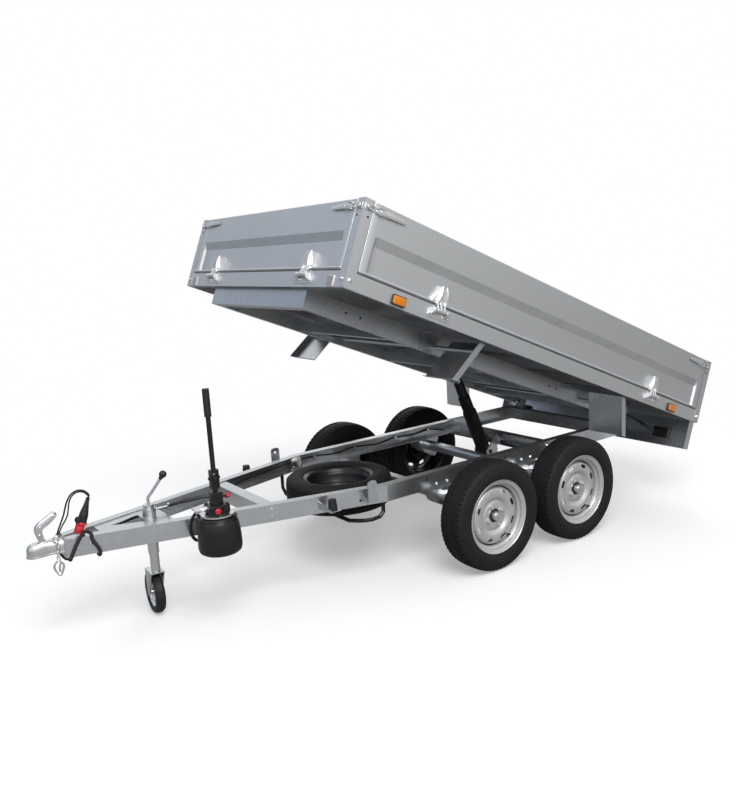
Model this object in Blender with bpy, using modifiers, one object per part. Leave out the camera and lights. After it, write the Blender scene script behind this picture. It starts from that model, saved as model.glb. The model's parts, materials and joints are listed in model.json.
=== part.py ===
"""Tipping trailer with two axles, a hand pump and four drop sides.

Frame: +X runs to the trailer's rear, the coupling is at -X, +Y is its right side, +Z is up
and the wheels stand on Z = 0.  The bed is shown part way up, as the pump has raised it.
Sizes are in metres.  Chassis pieces are placed from the middle between the two axles, bed
pieces from the bed's pivot shaft, as if the bed lay flat; its empty then tilts them all.
"""
import bpy
import bmesh
import math
from mathutils import Matrix, Vector

# General
FIT = 0.0003            # gap between pieces that seat on each other
PIN_FIT = 0.0005        # radial play of a pin in its hole
CLEAR = 0.006           # air between pieces that pass each other
EPS = 0.002             # how far a cutter runs past what it cuts
ORIGIN_TO_AXLES = 0.4374    # from the origin (middle of the length) to the middle of the axles

# Wheels, 155/70 R13 on a 4.5 inch steel rim
AXLE_SPACING = 0.602
TYRE_R = 0.273
TYRE_W = 0.1535
TRACK = 1.274
RIM_FLANGE_R = 0.1825
RIM_SEAT_R = 0.168
RIM_HALF_W = 0.065
RIM_WELL_R = 0.156
SLOT_COUNT = 8
SLOT_L = 0.038
SLOT_W = 0.016
SLOT_CIRCLE_R = 0.122
BOLT_CIRCLE_R = 0.049
BOLT_COUNT = 4
STUB_R = 0.0175

# Axles, rubber torsion
AXLE_TUBE_R = 0.030
AXLE_TUBE_Z = 0.360
ARM_REACH = 0.130       # from the axle tube back to the wheel centre
ARM_Y = 0.500           # middle of the swing arm
ARM_T = 0.028
SADDLE_L = 0.150
SADDLE_W = 0.080

# Chassis rails, bent C sections open to the inside
RAIL_TOP = 0.480
RAIL_H = 0.080
RAIL_W = 0.045
RAIL_T = 0.004
RAIL_OUT_Y = 0.427
RAIL_REAR = 0.955
RAIL_BEND = -0.762
RAIL_FRONT = -2.150
RAIL_SLOPE = 0.271      # inward per unit of length ahead of the bend
RAIL_SHELF = 0.049      # brackets on the rails' outer faces lie this far below their tops
LOCK_X = -0.868         # upright lock plates, beside the lowered sub-frame
LOCK_T = 0.006
LOCK_HALF = 0.025
LOCK_EYE = 0.027        # their holes, above the rails' tops
LOCK_PIN_R = 0.007
STOP_X = -1.068         # rubber stops, under the lowered sub-frame
STOP_R = 0.023
STOP_TOP_R = 0.018
FRONT_BEAM_X = -1.335   # front faces of the cross members
MIDDLE_BEAM_X = 0.335
REAR_BEAM_X = 0.895
BEAM_L = 0.050
FRONT_BEAM_L = 0.060

# Coupling and jockey wheel
COUPLING_W = 0.078
COUPLING_TOP = 0.480
COUPLING_LOW = 0.424
COUPLING_LIP = 0.005
BALL_X = -2.258
BALL_R = 0.0255
JOCKEY_X = -1.765
JOCKEY_TUBE_R = 0.024
JOCKEY_TUBE_TOP = 0.530
JOCKEY_TUBE_LOW = 0.305
JOCKEY_LEG_R = 0.0205
JOCKEY_WHEEL_R = 0.100
JOCKEY_WHEEL_W = 0.044
JOCKEY_TRAIL = 0.055
JOCKEY_TURN = math.radians(-95)
FORK_T = 0.004
FORK_TOP = 0.216
GUSSET_T = 0.004

# Hand pump
PUMP_X = -1.582
PUMP_OFF = 0.018        # air between the tank and the rail
TANK_R = 0.094
TANK_TOP_R = 0.078
TANK_LOW = 0.350
TANK_H = 0.165
LEVER_Z = 0.675
LEVER_TOP = 1.055
LEVER_R = 0.0105
GRIP_R = 0.0145
GRIP_L = 0.115

# Spare wheel
SPARE_X = -0.756
SPARE_TOP = 0.456
CARRIER_X = -0.880
CARRIER_R = 0.010
CARRIER_END_X = -0.775

# Bed, in the bed's own frame: distance ahead of its rear edge, height above its underside
TILT = math.radians(21.88)
BED_L = 2.626
BED_W = 1.496
BED_H = 0.368
FLOOR_H = 0.070
SHEET = 0.003
LIP = 0.030
RIB_COUNT = 8
RIB_END = 0.063         # first and last rib, from the bed's ends
RIB_T = 0.004
RIB_H = 0.046
POST = 0.048
PANEL_T = 0.025
PANEL_GAP = 0.003
FOLD_TOP = 0.237
FOLD_LOW = 0.201
FOLD_DEPTH = 0.014
FOLD_END = 0.040
HINGE_OUT = 0.016       # hinge pins stand this far off the bed's faces
HINGE_H = 0.050
HINGE_R = 0.008
HINGE_W = 0.046
SIDE_HINGE_IN = 0.503   # hinges of the long boards, from the bed's front and rear
END_HINGE_IN = 0.308    # hinges of the short boards, from the bed's sides
LATCH_H = 0.334
LATCH_L = 0.142
LATCH_OUT = 0.012
BED_REST_X = 1.279      # rear lower edge of the tilted bed
BED_REST_Z = 0.463
SUB_H = 0.085
SUB_OUT_Y = 0.445
SUB_W = 0.045
SUB_FRONT = 2.600
PIVOT_H = -0.060        # pivot shaft, from the bed's underside
PIVOT_R = 0.012
BOARD_AHEAD = 0.020
BOARD_H = 0.165
BOARD_RETURN = 0.045
FLAP_IN_Y = 0.490
FLAP_OUT_Y = 0.710
FLAP_DROP = 0.205
FLAP_BAR_R = 0.011
FLAP_BAR_H = -0.050
SUB_BEAMS = (0.560, 1.015, 1.415, 2.060)    # rear faces of the sub-frame's cross beams
SUB_BEAM_L = 0.030
LAMP_IN = 0.188         # tail lamps' middles, from the bed's sides
REFLECTOR_IN = 0.096    # front reflectors' middles, from the bed's sides
MARKER_REAR = 0.296     # side markers' middles, from the bed's rear
MARKER_FRONT = 0.278    # and from its front
MARKER_HALF = 0.033

# Lifting cylinder, telescopic
FOOT_X = 0.279
FOOT_Z = 0.372
EYE_AHEAD = 1.310       # rod eye, ahead of the bed's rear edge
EYE_H = -0.040
BARREL_R = 0.040
BARREL_L = 0.272
STAGE_STEP = 0.006      # how much thinner each stage is
STAGE_WALL = 0.004      # bottom of each stage
STAGE_AIR = 0.0025      # left below a stage when the bed is down
EYE_R = 0.020
EAR_Y = 0.046
EAR_T = 0.008

# Values that follow from the ones above
BED_LOW_Z = RAIL_TOP + CLEAR + SUB_H          # underside of the lowered bed
PIVOT_AHEAD = (BED_LOW_Z - BED_REST_Z + PIVOT_H * (1 - math.cos(TILT))) / math.sin(TILT)
PIVOT_X = BED_REST_X - PIVOT_AHEAD * math.cos(TILT) + PIVOT_H * math.sin(TILT)
PIVOT_Z = BED_LOW_Z + PIVOT_H
TYRE_Y = TRACK / 2
LOCK_Y = SUB_OUT_Y + CLEAR + LOCK_T
STOP_Y = SUB_OUT_Y - SUB_W / 2 - 0.004
STOP_TOP = RAIL_TOP + 0.001
PUMP_Y = -(RAIL_OUT_Y - (RAIL_BEND - PUMP_X) * RAIL_SLOPE) - PUMP_OFF - TANK_R


def rail_edge(x):
    """Outer edge of a rail at x, as a distance from the centreline."""
    return RAIL_OUT_Y - max(0.0, RAIL_BEND - x) * RAIL_SLOPE


for old in list(bpy.data.objects):
    bpy.data.objects.remove(old, do_unlink=True)
PARTS = bpy.data.collections.new("tipping_trailer")
CUTTERS = bpy.data.collections.new("cutters")
bpy.context.scene.collection.children.link(PARTS)
bpy.context.scene.collection.children.link(CUTTERS)

# Finish: colour, roughness, metallic
FINISHES = {
    "galvanized": ((0.60, 0.62, 0.64), 0.42, 0.85),
    "bed_sheet": ((0.66, 0.68, 0.70), 0.38, 0.80),
    "zinc": ((0.78, 0.79, 0.80), 0.28, 0.95),
    "wheel_silver": ((0.72, 0.73, 0.75), 0.35, 0.55),
    "black_paint": ((0.018, 0.018, 0.020), 0.38, 0.10),
    "tyre_rubber": ((0.022, 0.022, 0.023), 0.82, 0.0),
    "rubber": ((0.030, 0.030, 0.032), 0.70, 0.0),
    "plastic_black": ((0.035, 0.035, 0.038), 0.50, 0.0),
    "amber": ((0.85, 0.30, 0.02), 0.25, 0.0),
    "clear_white": ((0.85, 0.86, 0.88), 0.20, 0.0),
    "lamp_red": ((0.55, 0.02, 0.02), 0.25, 0.0),
}


def frame(name, parent=None, location=(0, 0, 0), rotation=(0, 0, 0)):
    """An empty that other objects hang from."""
    empty = bpy.data.objects.new(name, None)
    empty.location = location
    empty.rotation_euler = rotation
    empty.parent = parent
    PARTS.objects.link(empty)
    return empty


def place(obj, parent, location=(0, 0, 0), rotation=(0, 0, 0)):
    obj.parent = parent
    obj.location = location
    obj.rotation_euler = rotation
    return obj


def box(parent, low, high):
    """A block between two corners, in its parent's frame."""
    bm = bmesh.new()
    bmesh.ops.create_cube(bm, size=1.0)
    size = Vector(high) - Vector(low)
    bmesh.ops.scale(bm, vec=size, verts=bm.verts)
    bmesh.ops.translate(bm, vec=Vector(low) + size / 2, verts=bm.verts)
    return shape(bm, parent)


def rod(parent, start, end, radius, end_radius=None, sides=16):
    """A round bar between two points."""
    start = Vector(start)
    end = Vector(end)
    axis = end - start
    bm = bmesh.new()
    bmesh.ops.create_cone(bm, cap_ends=True, segments=sides, radius1=radius,
                          radius2=radius if end_radius is None else end_radius, depth=axis.length)
    turn = axis.to_track_quat("Z", "Y").to_matrix().to_4x4()
    bmesh.ops.transform(bm, matrix=Matrix.Translation((start + end) / 2) @ turn, verts=bm.verts)
    return shape(bm, parent)


def ball(parent, centre, radius, sides=16):
    bm = bmesh.new()
    bmesh.ops.create_uvsphere(bm, u_segments=sides, v_segments=sides // 2, radius=radius)
    bmesh.ops.translate(bm, vec=centre, verts=bm.verts)
    return shape(bm, parent)


def shape(bm, parent):
    """Turn a bmesh into an object that has no name of its own yet."""
    mesh = bpy.data.meshes.new("shape")
    bm.to_mesh(mesh)
    bm.free()
    obj = bpy.data.objects.new("shape", mesh)
    CUTTERS.objects.link(obj)
    obj.parent = parent
    return obj


def curve_to_mesh(obj):
    """Replace a curve object by a welded mesh object in the same place."""
    bpy.context.view_layer.update()
    graph = bpy.context.evaluated_depsgraph_get()
    mesh = bpy.data.meshes.new_from_object(obj.evaluated_get(graph))
    bm = bmesh.new()
    bm.from_mesh(mesh)
    bmesh.ops.remove_doubles(bm, verts=bm.verts, dist=1e-6)
    bmesh.ops.recalc_face_normals(bm, faces=bm.faces)
    bm.to_mesh(mesh)
    bm.free()
    mesh.materials.clear()
    solid = bpy.data.objects.new("shape", mesh)
    CUTTERS.objects.link(solid)
    solid.parent = obj.parent
    solid.location = obj.location
    solid.rotation_euler = obj.rotation_euler
    bpy.data.objects.remove(obj, do_unlink=True)
    return solid


# Planes that outlines are drawn on: rotation of the outline's own X and Y
TOP = (0, 0, 0)                          # outline x, y -> X, Y, thickness along Z
SIDE = (math.pi / 2, 0, 0)               # outline x, y -> X, Z, thickness along -Y
FRONT = (math.pi / 2, 0, math.pi / 2)    # outline x, y -> Y, Z, thickness along X


def plate(parent, plane, outline, low, high, holes=()):
    """A flat outline, with holes, filled between two levels along the plane's normal."""
    curve = bpy.data.curves.new("outline", "CURVE")
    curve.dimensions = "2D"
    curve.fill_mode = "BOTH"
    curve.extrude = (high - low) / 2
    for ring in (outline,) + tuple(holes):
        spline = curve.splines.new("POLY")
        spline.points.add(len(ring) - 1)
        for point, (x, y) in zip(spline.points, ring):
            point.co = (x, y, 0, 1)
        spline.use_cyclic_u = True
    middle = (low + high) / 2
    obj = bpy.data.objects.new("outline", curve)
    CUTTERS.objects.link(obj)
    place(obj, parent, {TOP: (0, 0, middle), SIDE: (0, middle, 0), FRONT: (middle, 0, 0)}[plane], plane)
    return curve_to_mesh(obj)


def bar(parent, path, radius, resolution=1):
    """A bent round bar or hose along a path."""
    curve = bpy.data.curves.new("path", "CURVE")
    curve.dimensions = "3D"
    curve.bevel_depth = radius
    curve.bevel_resolution = resolution
    curve.use_fill_caps = True
    spline = curve.splines.new("POLY")
    spline.points.add(len(path) - 1)
    for point, co in zip(spline.points, path):
        point.co = (*co, 1)
    obj = bpy.data.objects.new("path", curve)
    CUTTERS.objects.link(obj)
    obj.parent = parent
    return curve_to_mesh(obj)


def smooth_path(route, step):
    """Points every `step` along a smooth curve through the route's own points."""
    points = [Vector(p) for p in route]
    ends = [2 * points[0] - points[1]] + points + [2 * points[-1] - points[-2]]
    path = []
    for a, b, c, d in zip(ends, ends[1:], ends[2:], ends[3:]):
        count = max(2, round((c - b).length / step))
        for i in range(count):
            t = i / count
            path.append(0.5 * ((2 * b) + (c - a) * t + (2 * a - 5 * b + 4 * c - d) * t * t
                               + (3 * b - a - 3 * c + d) * t ** 3))
    path.append(points[-1])
    return path


def arc(cx, cy, radius, start, end, count):
    """Points on an arc, angles in degrees."""
    turn = [math.radians(start + (end - start) * i / (count - 1)) for i in range(count)]
    return [(cx + radius * math.cos(a), cy + radius * math.sin(a)) for a in turn]


def hole(cx, cy, radius, sides):
    """A many-sided hole whose flats clear a round bar of that radius."""
    wide = radius / math.cos(math.pi / sides)
    return arc(cx, cy, wide, 0, 360 - 360 / sides, sides)


def turned(parent, profile, steps, location=(0, 0, 0), rotation=(0, 0, 0)):
    """Turn a closed loop of (radius, height) points about its own Z axis."""
    area = sum(a[0] * b[1] - b[0] * a[1] for a, b in zip(profile, profile[1:] + profile[:1]))
    mesh = bpy.data.meshes.new("profile")
    count = len(profile)
    mesh.from_pydata([(r, 0, z) for r, z in profile], [(i, (i + 1) % count) for i in range(count)
                     if profile[i][0] > 0 or profile[(i + 1) % count][0] > 0], [])
    obj = bpy.data.objects.new("turned", mesh)
    CUTTERS.objects.link(obj)
    screw = obj.modifiers.new("turn", "SCREW")
    screw.steps = steps
    screw.render_steps = steps
    screw.use_merge_vertices = True
    screw.merge_threshold = 0.00001
    screw.use_normal_calculate = False
    ring = all(r > 0 for r, z in profile)
    screw.use_normal_flip = (area < 0) != ring      # a ring's faces come out the other way round
    place(obj, parent, location, rotation)
    return obj


def boolean(obj, other, operation, solver="EXACT"):
    mod = obj.modifiers.new(operation.lower(), "BOOLEAN")
    mod.operation = operation
    mod.object = other
    mod.solver = solver
    other.hide_render = True
    other.display_type = "WIRE"
    return obj


def finish(obj, name, look, add=(), cut=(), smooth=None, solver="EXACT"):
    """Name a piece, join and cut it with live Booleans, and give it its finish."""
    for other in add:
        boolean(obj, other, "UNION", solver)
    for other in cut:
        boolean(obj, other, "DIFFERENCE", solver)
    obj.name = name
    obj.data.name = name
    CUTTERS.objects.unlink(obj)
    PARTS.objects.link(obj)
    colour, rough, metal = FINISHES[look]
    material = bpy.data.materials.new(name)
    material.use_nodes = True
    shader = material.node_tree.nodes["Principled BSDF"]
    shader.inputs["Base Color"].default_value = (*colour, 1)
    shader.inputs["Roughness"].default_value = rough
    shader.inputs["Metallic"].default_value = metal
    obj.data.materials.clear()
    obj.data.materials.append(material)
    if smooth:
        obj.data.shade_smooth()
        obj.data.set_sharp_from_angle(angle=math.radians(smooth))
    return obj


ROOT = frame("trailer", location=(ORIGIN_TO_AXLES, 0, 0))
SIDES = (("left", -1), ("right", 1))
AXLES = (("front", -AXLE_SPACING / 2), ("rear", AXLE_SPACING / 2))

# Chassis rails: a bent strip in plan, hollowed from the inside to a C, with an upright lock plate
for side, s in SIDES:
    def strip(inner, outer, rear=RAIL_REAR, front=RAIL_FRONT):
        xs = (rear, RAIL_BEND, front)
        return [(x, s * (rail_edge(x) - outer)) for x in xs] + \
               [(x, s * (rail_edge(x) - inner)) for x in reversed(xs)]
    rail = plate(ROOT, TOP, strip(RAIL_W, 0), RAIL_TOP - RAIL_H, RAIL_TOP)
    hollow = plate(ROOT, TOP, strip(RAIL_W + EPS, RAIL_T, RAIL_REAR + EPS, RAIL_FRONT - EPS),
                   RAIL_TOP - RAIL_H + RAIL_T, RAIL_TOP - RAIL_T)
    shelf = RAIL_TOP - RAIL_SHELF

    def bracket(x, half, reach, height):
        """A shelf on the rail's outer face with an upright web at its front."""
        edges = [rail_edge(x - half) - RAIL_T / 2, rail_edge(x + half) - RAIL_T / 2]
        floor = plate(ROOT, TOP, [(x - half, s * edges[0]), (x + half, s * edges[1]), (x + half, s * reach),
                                  (x - half, s * reach)], shelf - RAIL_T, shelf)
        web = plate(ROOT, FRONT, [(s * edges[0], shelf - RAIL_T / 2), (s * edges[0], shelf + height),
                                  (s * reach, shelf + height * 0.3), (s * reach, shelf - RAIL_T / 2)], x - half, x - half + RAIL_T)
        return [floor, web]

    lo, hi = sorted((s * (LOCK_Y - LOCK_T), s * LOCK_Y))
    eye = RAIL_TOP + LOCK_EYE
    lock = plate(ROOT, SIDE, [(LOCK_X - LOCK_HALF, shelf - RAIL_T / 2), (LOCK_X + LOCK_HALF, shelf - RAIL_T / 2)]
                 + arc(LOCK_X + LOCK_HALF * 0.4, eye + LOCK_HALF * 0.4, LOCK_HALF * 0.6, 0, 90, 3)
                 + arc(LOCK_X - LOCK_HALF * 0.4, eye + LOCK_HALF * 0.4, LOCK_HALF * 0.6, 90, 180, 3), lo, hi,
                 holes=[hole(LOCK_X, eye, LOCK_PIN_R, 8)])
    adds = bracket(LOCK_X, LOCK_HALF, LOCK_Y - LOCK_T / 2, 0.036) + [lock]
    adds += bracket(STOP_X, STOP_R + 0.005, STOP_Y + STOP_R + 0.003, 0.030)
    finish(rail, "rail_" + side, "galvanized", add=adds, cut=[hollow])

    # Rubber stop that the lowered bed rests on
    foot = (STOP_X, s * STOP_Y, shelf + FIT)
    finish(rod(ROOT, foot, (STOP_X, s * STOP_Y, STOP_TOP), STOP_R, STOP_TOP_R, sides=16), "rubber_stop_" + side, "rubber", smooth=40)

# Drawbar plate between the rails' flanges, with its window, and the clamp for the jockey wheel's tube
plate_top = RAIL_TOP - RAIL_T - FIT
plate_y = [(x, rail_edge(x) - RAIL_T - FIT) for x in (JOCKEY_X - 0.235, JOCKEY_X + 0.065)]
window = [(JOCKEY_X - 0.175, 0.0), (JOCKEY_X - 0.044, 0.055), (JOCKEY_X - 0.036, 0.050), (JOCKEY_X - 0.036, -0.050),
          (JOCKEY_X - 0.044, -0.055)]
gusset = plate(ROOT, TOP, plate_y + [(x, -y) for x, y in reversed(plate_y)], plate_top - GUSSET_T, plate_top, holes=[window])
sleeve = rod(ROOT, (JOCKEY_X, 0, plate_top - GUSSET_T), (JOCKEY_X, 0, RAIL_TOP + 0.034), JOCKEY_TUBE_R + 0.006, sides=24)
screw_x = JOCKEY_X + 0.085
screw = rod(ROOT, (JOCKEY_X + JOCKEY_TUBE_R, 0, RAIL_TOP + 0.020), (screw_x, 0, RAIL_TOP + 0.020), 0.006, sides=10)
tee = rod(ROOT, (screw_x, -0.016, RAIL_TOP + 0.036), (screw_x, 0.016, RAIL_TOP + 0.004), 0.005, sides=10)
bore = rod(ROOT, (JOCKEY_X, 0, RAIL_TOP - 0.05), (JOCKEY_X, 0, RAIL_TOP + 0.06), JOCKEY_TUBE_R + FIT, sides=24)
finish(gusset, "drawbar_plate", "galvanized", add=[sleeve, screw, tee], cut=[bore])

# Coupling: a shank between the rails and a pressed head over the tow ball, domed and with a lip round its foot
half = COUPLING_W / 2
shank_y = rail_edge(RAIL_FRONT) - RAIL_T - FIT - 0.0006
shank_end = RAIL_FRONT + 0.065
waist = BALL_X + 0.053


def head_outline(inset):
    """The head seen from above, drawn in by an inset."""
    return arc(BALL_X, 0, half * 0.92 - inset, 110, 250, 11) + \
        [(waist, inset - half * 0.80), (RAIL_FRONT - FIT, inset - shank_y), (RAIL_FRONT - FIT, shank_y - inset),
         (waist, half * 0.80 - inset)]


lip = plate(ROOT, TOP, head_outline(0.0), COUPLING_LOW, COUPLING_LOW + COUPLING_LIP)
head = plate(ROOT, TOP, head_outline(0.0035), COUPLING_LOW + 0.001, COUPLING_TOP)
dome = head.modifiers.new("dome", "BEVEL")
dome.width = 0.016
dome.segments = 3
dome.limit_method = "WEIGHT"
weights = head.data.attributes.new("bevel_weight_edge", "FLOAT", "EDGE")
for edge, weight in zip(head.data.edges, weights.data):
    weight.value = float(all(head.data.vertices[i].co.z > 0 for i in edge.vertices))
shank = plate(ROOT, TOP, [(RAIL_FRONT - 0.002, shank_y), (shank_end, shank_y), (shank_end, -shank_y),
                          (RAIL_FRONT - 0.002, -shank_y)],
              RAIL_TOP - RAIL_H + RAIL_T + FIT, RAIL_TOP - RAIL_T - FIT)
ball_z = COUPLING_LOW + 0.022
socket = ball(ROOT, (BALL_X, 0, ball_z), BALL_R, sides=20)
throat = rod(ROOT, (BALL_X, 0, COUPLING_LOW - 0.01), (BALL_X, 0, ball_z), BALL_R, sides=20)
channel = box(ROOT, (BALL_X, -half * 0.45, COUPLING_LOW - 0.01), (RAIL_FRONT - 0.020, half * 0.45, COUPLING_LOW + 0.030))
finish(head, "coupling_head", "zinc", add=[lip, shank], cut=[socket, throat, channel], solver="MANIFOLD")

# Its handle: a flat lever with a knee and a hole in its rounded end
lever_low = COUPLING_TOP + FIT
tip = (BALL_X + 0.092, lever_low + 0.102)
lever_strip = [(BALL_X + 0.046, lever_low), (BALL_X + 0.052, lever_low + 0.045)] + arc(*tip, 0.014, -40, 120, 5) + \
    [(BALL_X + 0.015, lever_low + 0.073), (BALL_X + 0.004, lever_low + 0.050), (BALL_X + 0.021, lever_low)]
finish(plate(ROOT, SIDE, lever_strip, -0.013, 0.013, holes=[hole(*tip, 0.0055, 8)]), "coupling_handle", "zinc")

# Cross members: front and middle C beams, and the rear one that carries the pivot shaft's ends
def beam(x0, x1, low, high):
    """A C beam between the rails' webs, open to the rear."""
    end = min(rail_edge(x0), rail_edge(x1)) - RAIL_T - FIT
    solid = box(ROOT, (x0, -end, low), (x1, end, high))
    hollow = box(ROOT, (x0 + RAIL_T, -end - EPS, low + RAIL_T), (x1 + EPS, end + EPS, high - RAIL_T))
    return solid, hollow


inner_low = RAIL_TOP - RAIL_H + RAIL_T + FIT
inner_high = RAIL_TOP - RAIL_T - FIT
solid, hollow = beam(FRONT_BEAM_X, FRONT_BEAM_X + FRONT_BEAM_L, inner_low, inner_high)
finish(solid, "front_crossmember", "galvanized", cut=[hollow])

foot_ears = []
for s in (-1, 1):
    lo, hi = sorted((s * EAR_Y, s * (EAR_Y + EAR_T)))
    foot_ears.append(plate(ROOT, SIDE, [(MIDDLE_BEAM_X + 0.002, inner_high - 0.004), (FOOT_X - 0.010, FOOT_Z + 0.026)]
                           + arc(FOOT_X, FOOT_Z, 0.026, 120, 270, 6)
                           + [(MIDDLE_BEAM_X + 0.002, FOOT_Z - 0.020)], lo, hi,
                           holes=[hole(FOOT_X, FOOT_Z, 0.012 + PIN_FIT, 16)]))
solid, hollow = beam(MIDDLE_BEAM_X, MIDDLE_BEAM_X + BEAM_L, inner_low, inner_high)
finish(solid, "middle_crossmember", "galvanized", add=foot_ears, cut=[hollow])

solid, hollow = beam(REAR_BEAM_X, REAR_BEAM_X + BEAM_L, inner_low, inner_high)
rear_adds = []
for s in (-1, 1):
    lo, hi = sorted((s * 0.352, s * 0.362))
    rear_adds.append(plate(ROOT, SIDE, [(REAR_BEAM_X + 0.010, RAIL_TOP - 0.060), (REAR_BEAM_X + 0.065, RAIL_TOP - 0.060),
                                        (PIVOT_X + 0.024, PIVOT_Z - 0.010)]
                           + arc(PIVOT_X, PIVOT_Z, 0.025, 0, 150, 6) + [(REAR_BEAM_X + 0.010, inner_high)], lo, hi))
    rear_adds.append(rod(ROOT, (PIVOT_X, s * 0.354, PIVOT_Z), (PIVOT_X, s * (SUB_OUT_Y + 0.008), PIVOT_Z), PIVOT_R))
finish(solid, "rear_crossmember", "galvanized", add=rear_adds, cut=[hollow])

# Rubber torsion axles: tube, two saddles under the rails, two swing arms and their stubs
for name, x in AXLES:
    tube_x = x - ARM_REACH
    tube = rod(ROOT, (tube_x, -ARM_Y, AXLE_TUBE_Z), (tube_x, ARM_Y, AXLE_TUBE_Z), AXLE_TUBE_R, sides=16)
    adds = []
    for s in (-1, 1):
        top = RAIL_TOP - RAIL_H - FIT
        edge = s * (RAIL_OUT_Y - RAIL_W / 2 + 0.010)
        adds.append(plate(ROOT, SIDE, [(tube_x - SADDLE_L / 2, top), (tube_x - SADDLE_L / 2, top - 0.012),
                                       (tube_x - 0.045, AXLE_TUBE_Z - 0.030), (tube_x - 0.020, AXLE_TUBE_Z - 0.046),
                                       (tube_x + 0.020, AXLE_TUBE_Z - 0.046), (tube_x + 0.045, AXLE_TUBE_Z - 0.030),
                                       (tube_x + SADDLE_L / 2, top - 0.012), (tube_x + SADDLE_L / 2, top)],
                          edge - SADDLE_W / 2, edge + SADDLE_W / 2))
        lo, hi = sorted((s * (ARM_Y - ARM_T / 2), s * (ARM_Y + ARM_T / 2)))
        drop = math.degrees(math.atan2(AXLE_TUBE_Z - TYRE_R, ARM_REACH))
        adds.append(plate(ROOT, SIDE, arc(tube_x, AXLE_TUBE_Z, 0.042, 90 - drop, 270 - drop, 7)
                          + arc(x, TYRE_R, 0.028, -90 - drop, 90 - drop, 6), lo, hi))
        adds.append(rod(ROOT, (x, s * ARM_Y, TYRE_R), (x, s * (TYRE_Y + 0.018), TYRE_R), STUB_R))
    finish(tube, "axle_" + name, "galvanized", add=adds, smooth=40, solver="MANIFOLD")

# Wheels: turned rim with its disc, hub and slots, and the tyre on it
RIM_PROFILE = [
    # radius, distance out from the wheel's middle
    (0.0, 0.046), (0.026, 0.044), (0.035, 0.030), (0.098, 0.031),
    (0.144, 0.012), (0.158, 0.046), (RIM_FLANGE_R, RIM_HALF_W),
    (RIM_FLANGE_R, RIM_HALF_W - 0.004), (RIM_SEAT_R, RIM_HALF_W - 0.009), (RIM_WELL_R, 0.028),
    (RIM_WELL_R, -0.028), (RIM_SEAT_R, -RIM_HALF_W + 0.009), (RIM_FLANGE_R, -RIM_HALF_W + 0.004),
    (RIM_FLANGE_R, -RIM_HALF_W), (0.158, -0.048), (0.148, 0.000), (0.098, 0.024),
    (0.045, 0.023), (0.045, -0.040), (STUB_R + PIN_FIT, -0.040), (STUB_R + PIN_FIT, 0.020), (0.0, 0.020),
]
RIM_SIDES = 24
TYRE_SIDES = 30
bead = (RIM_SEAT_R + FIT) / math.cos(math.pi / TYRE_SIDES)
TYRE_PROFILE = [
    (bead, RIM_HALF_W - 0.0097), (RIM_FLANGE_R + 0.0015, RIM_HALF_W - 0.0052), (0.188, 0.0685),
    (0.212, 0.0762), (0.240, 0.0752), (0.264, 0.064), (TYRE_R, 0.042),
]
TYRE_PROFILE += [(r, -y) for r, y in reversed(TYRE_PROFILE)]
for name, x in AXLES:
    for side, s in SIDES:
        hub = frame("hub_{}_{}".format(name, side), ROOT, (x, s * TYRE_Y, TYRE_R), (-s * math.pi / 2, 0, 0))
        rim = turned(hub, RIM_PROFILE, RIM_SIDES)
        slots = []
        for i in range(SLOT_COUNT):
            a = 2 * math.pi * (i + 0.5) / SLOT_COUNT
            slot = plate(hub, TOP, arc(SLOT_L / 2 - SLOT_W / 2, 0, SLOT_W / 2, -90, 90, 3)
                         + arc(SLOT_W / 2 - SLOT_L / 2, 0, SLOT_W / 2, 90, 270, 3), -0.03, 0.05)
            slot.location = (SLOT_CIRCLE_R * math.cos(a), SLOT_CIRCLE_R * math.sin(a), 0.01)
            slot.rotation_euler = (0, 0, a + math.pi / 2)
            slots.append(slot)
        finish(rim, "rim_{}_{}".format(name, side), "wheel_silver", cut=slots, smooth=35)
        finish(turned(hub, TYRE_PROFILE, TYRE_SIDES), "tyre_{}_{}".format(name, side), "tyre_rubber", smooth=35)

# Spare wheel, flat between the rails on a bent bar
spare = frame("spare", ROOT, (SPARE_X, 0, SPARE_TOP - TYRE_W / 2), (math.pi, 0, 0))
finish(turned(spare, [(0.030, 0.030), (0.098, 0.031)] + RIM_PROFILE[4:16] + [(0.098, 0.024), (0.030, 0.023)], RIM_SIDES),
       "spare_rim", "black_paint", smooth=35)
finish(turned(spare, TYRE_PROFILE, TYRE_SIDES), "spare_tyre", "tyre_rubber", smooth=35)
carrier_z = SPARE_TOP - TYRE_W - FIT - CARRIER_R * math.cos(math.pi / 6)
under = RAIL_TOP - RAIL_H - FIT
far_y = rail_edge(CARRIER_X) - 0.020
near_y = rail_edge(CARRIER_END_X) - 0.020
carrier = bar(ROOT, [(CARRIER_X, far_y, under), (CARRIER_X, far_y, carrier_z + 0.030),
                     (CARRIER_X, far_y - 0.030, carrier_z), (CARRIER_X, 0.140 - near_y, carrier_z),
                     (CARRIER_X, 0.065 - near_y, carrier_z + 0.018), (CARRIER_X + 0.012, 0.025 - near_y, carrier_z + 0.026),
                     (CARRIER_X + 0.040, -near_y, carrier_z + 0.031), (CARRIER_X + 0.082, -near_y, carrier_z + 0.034),
                     (CARRIER_END_X, -near_y, carrier_z + 0.055), (CARRIER_END_X, -near_y, under)], CARRIER_R)
finish(carrier, "spare_carrier", "zinc", smooth=40)

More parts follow.
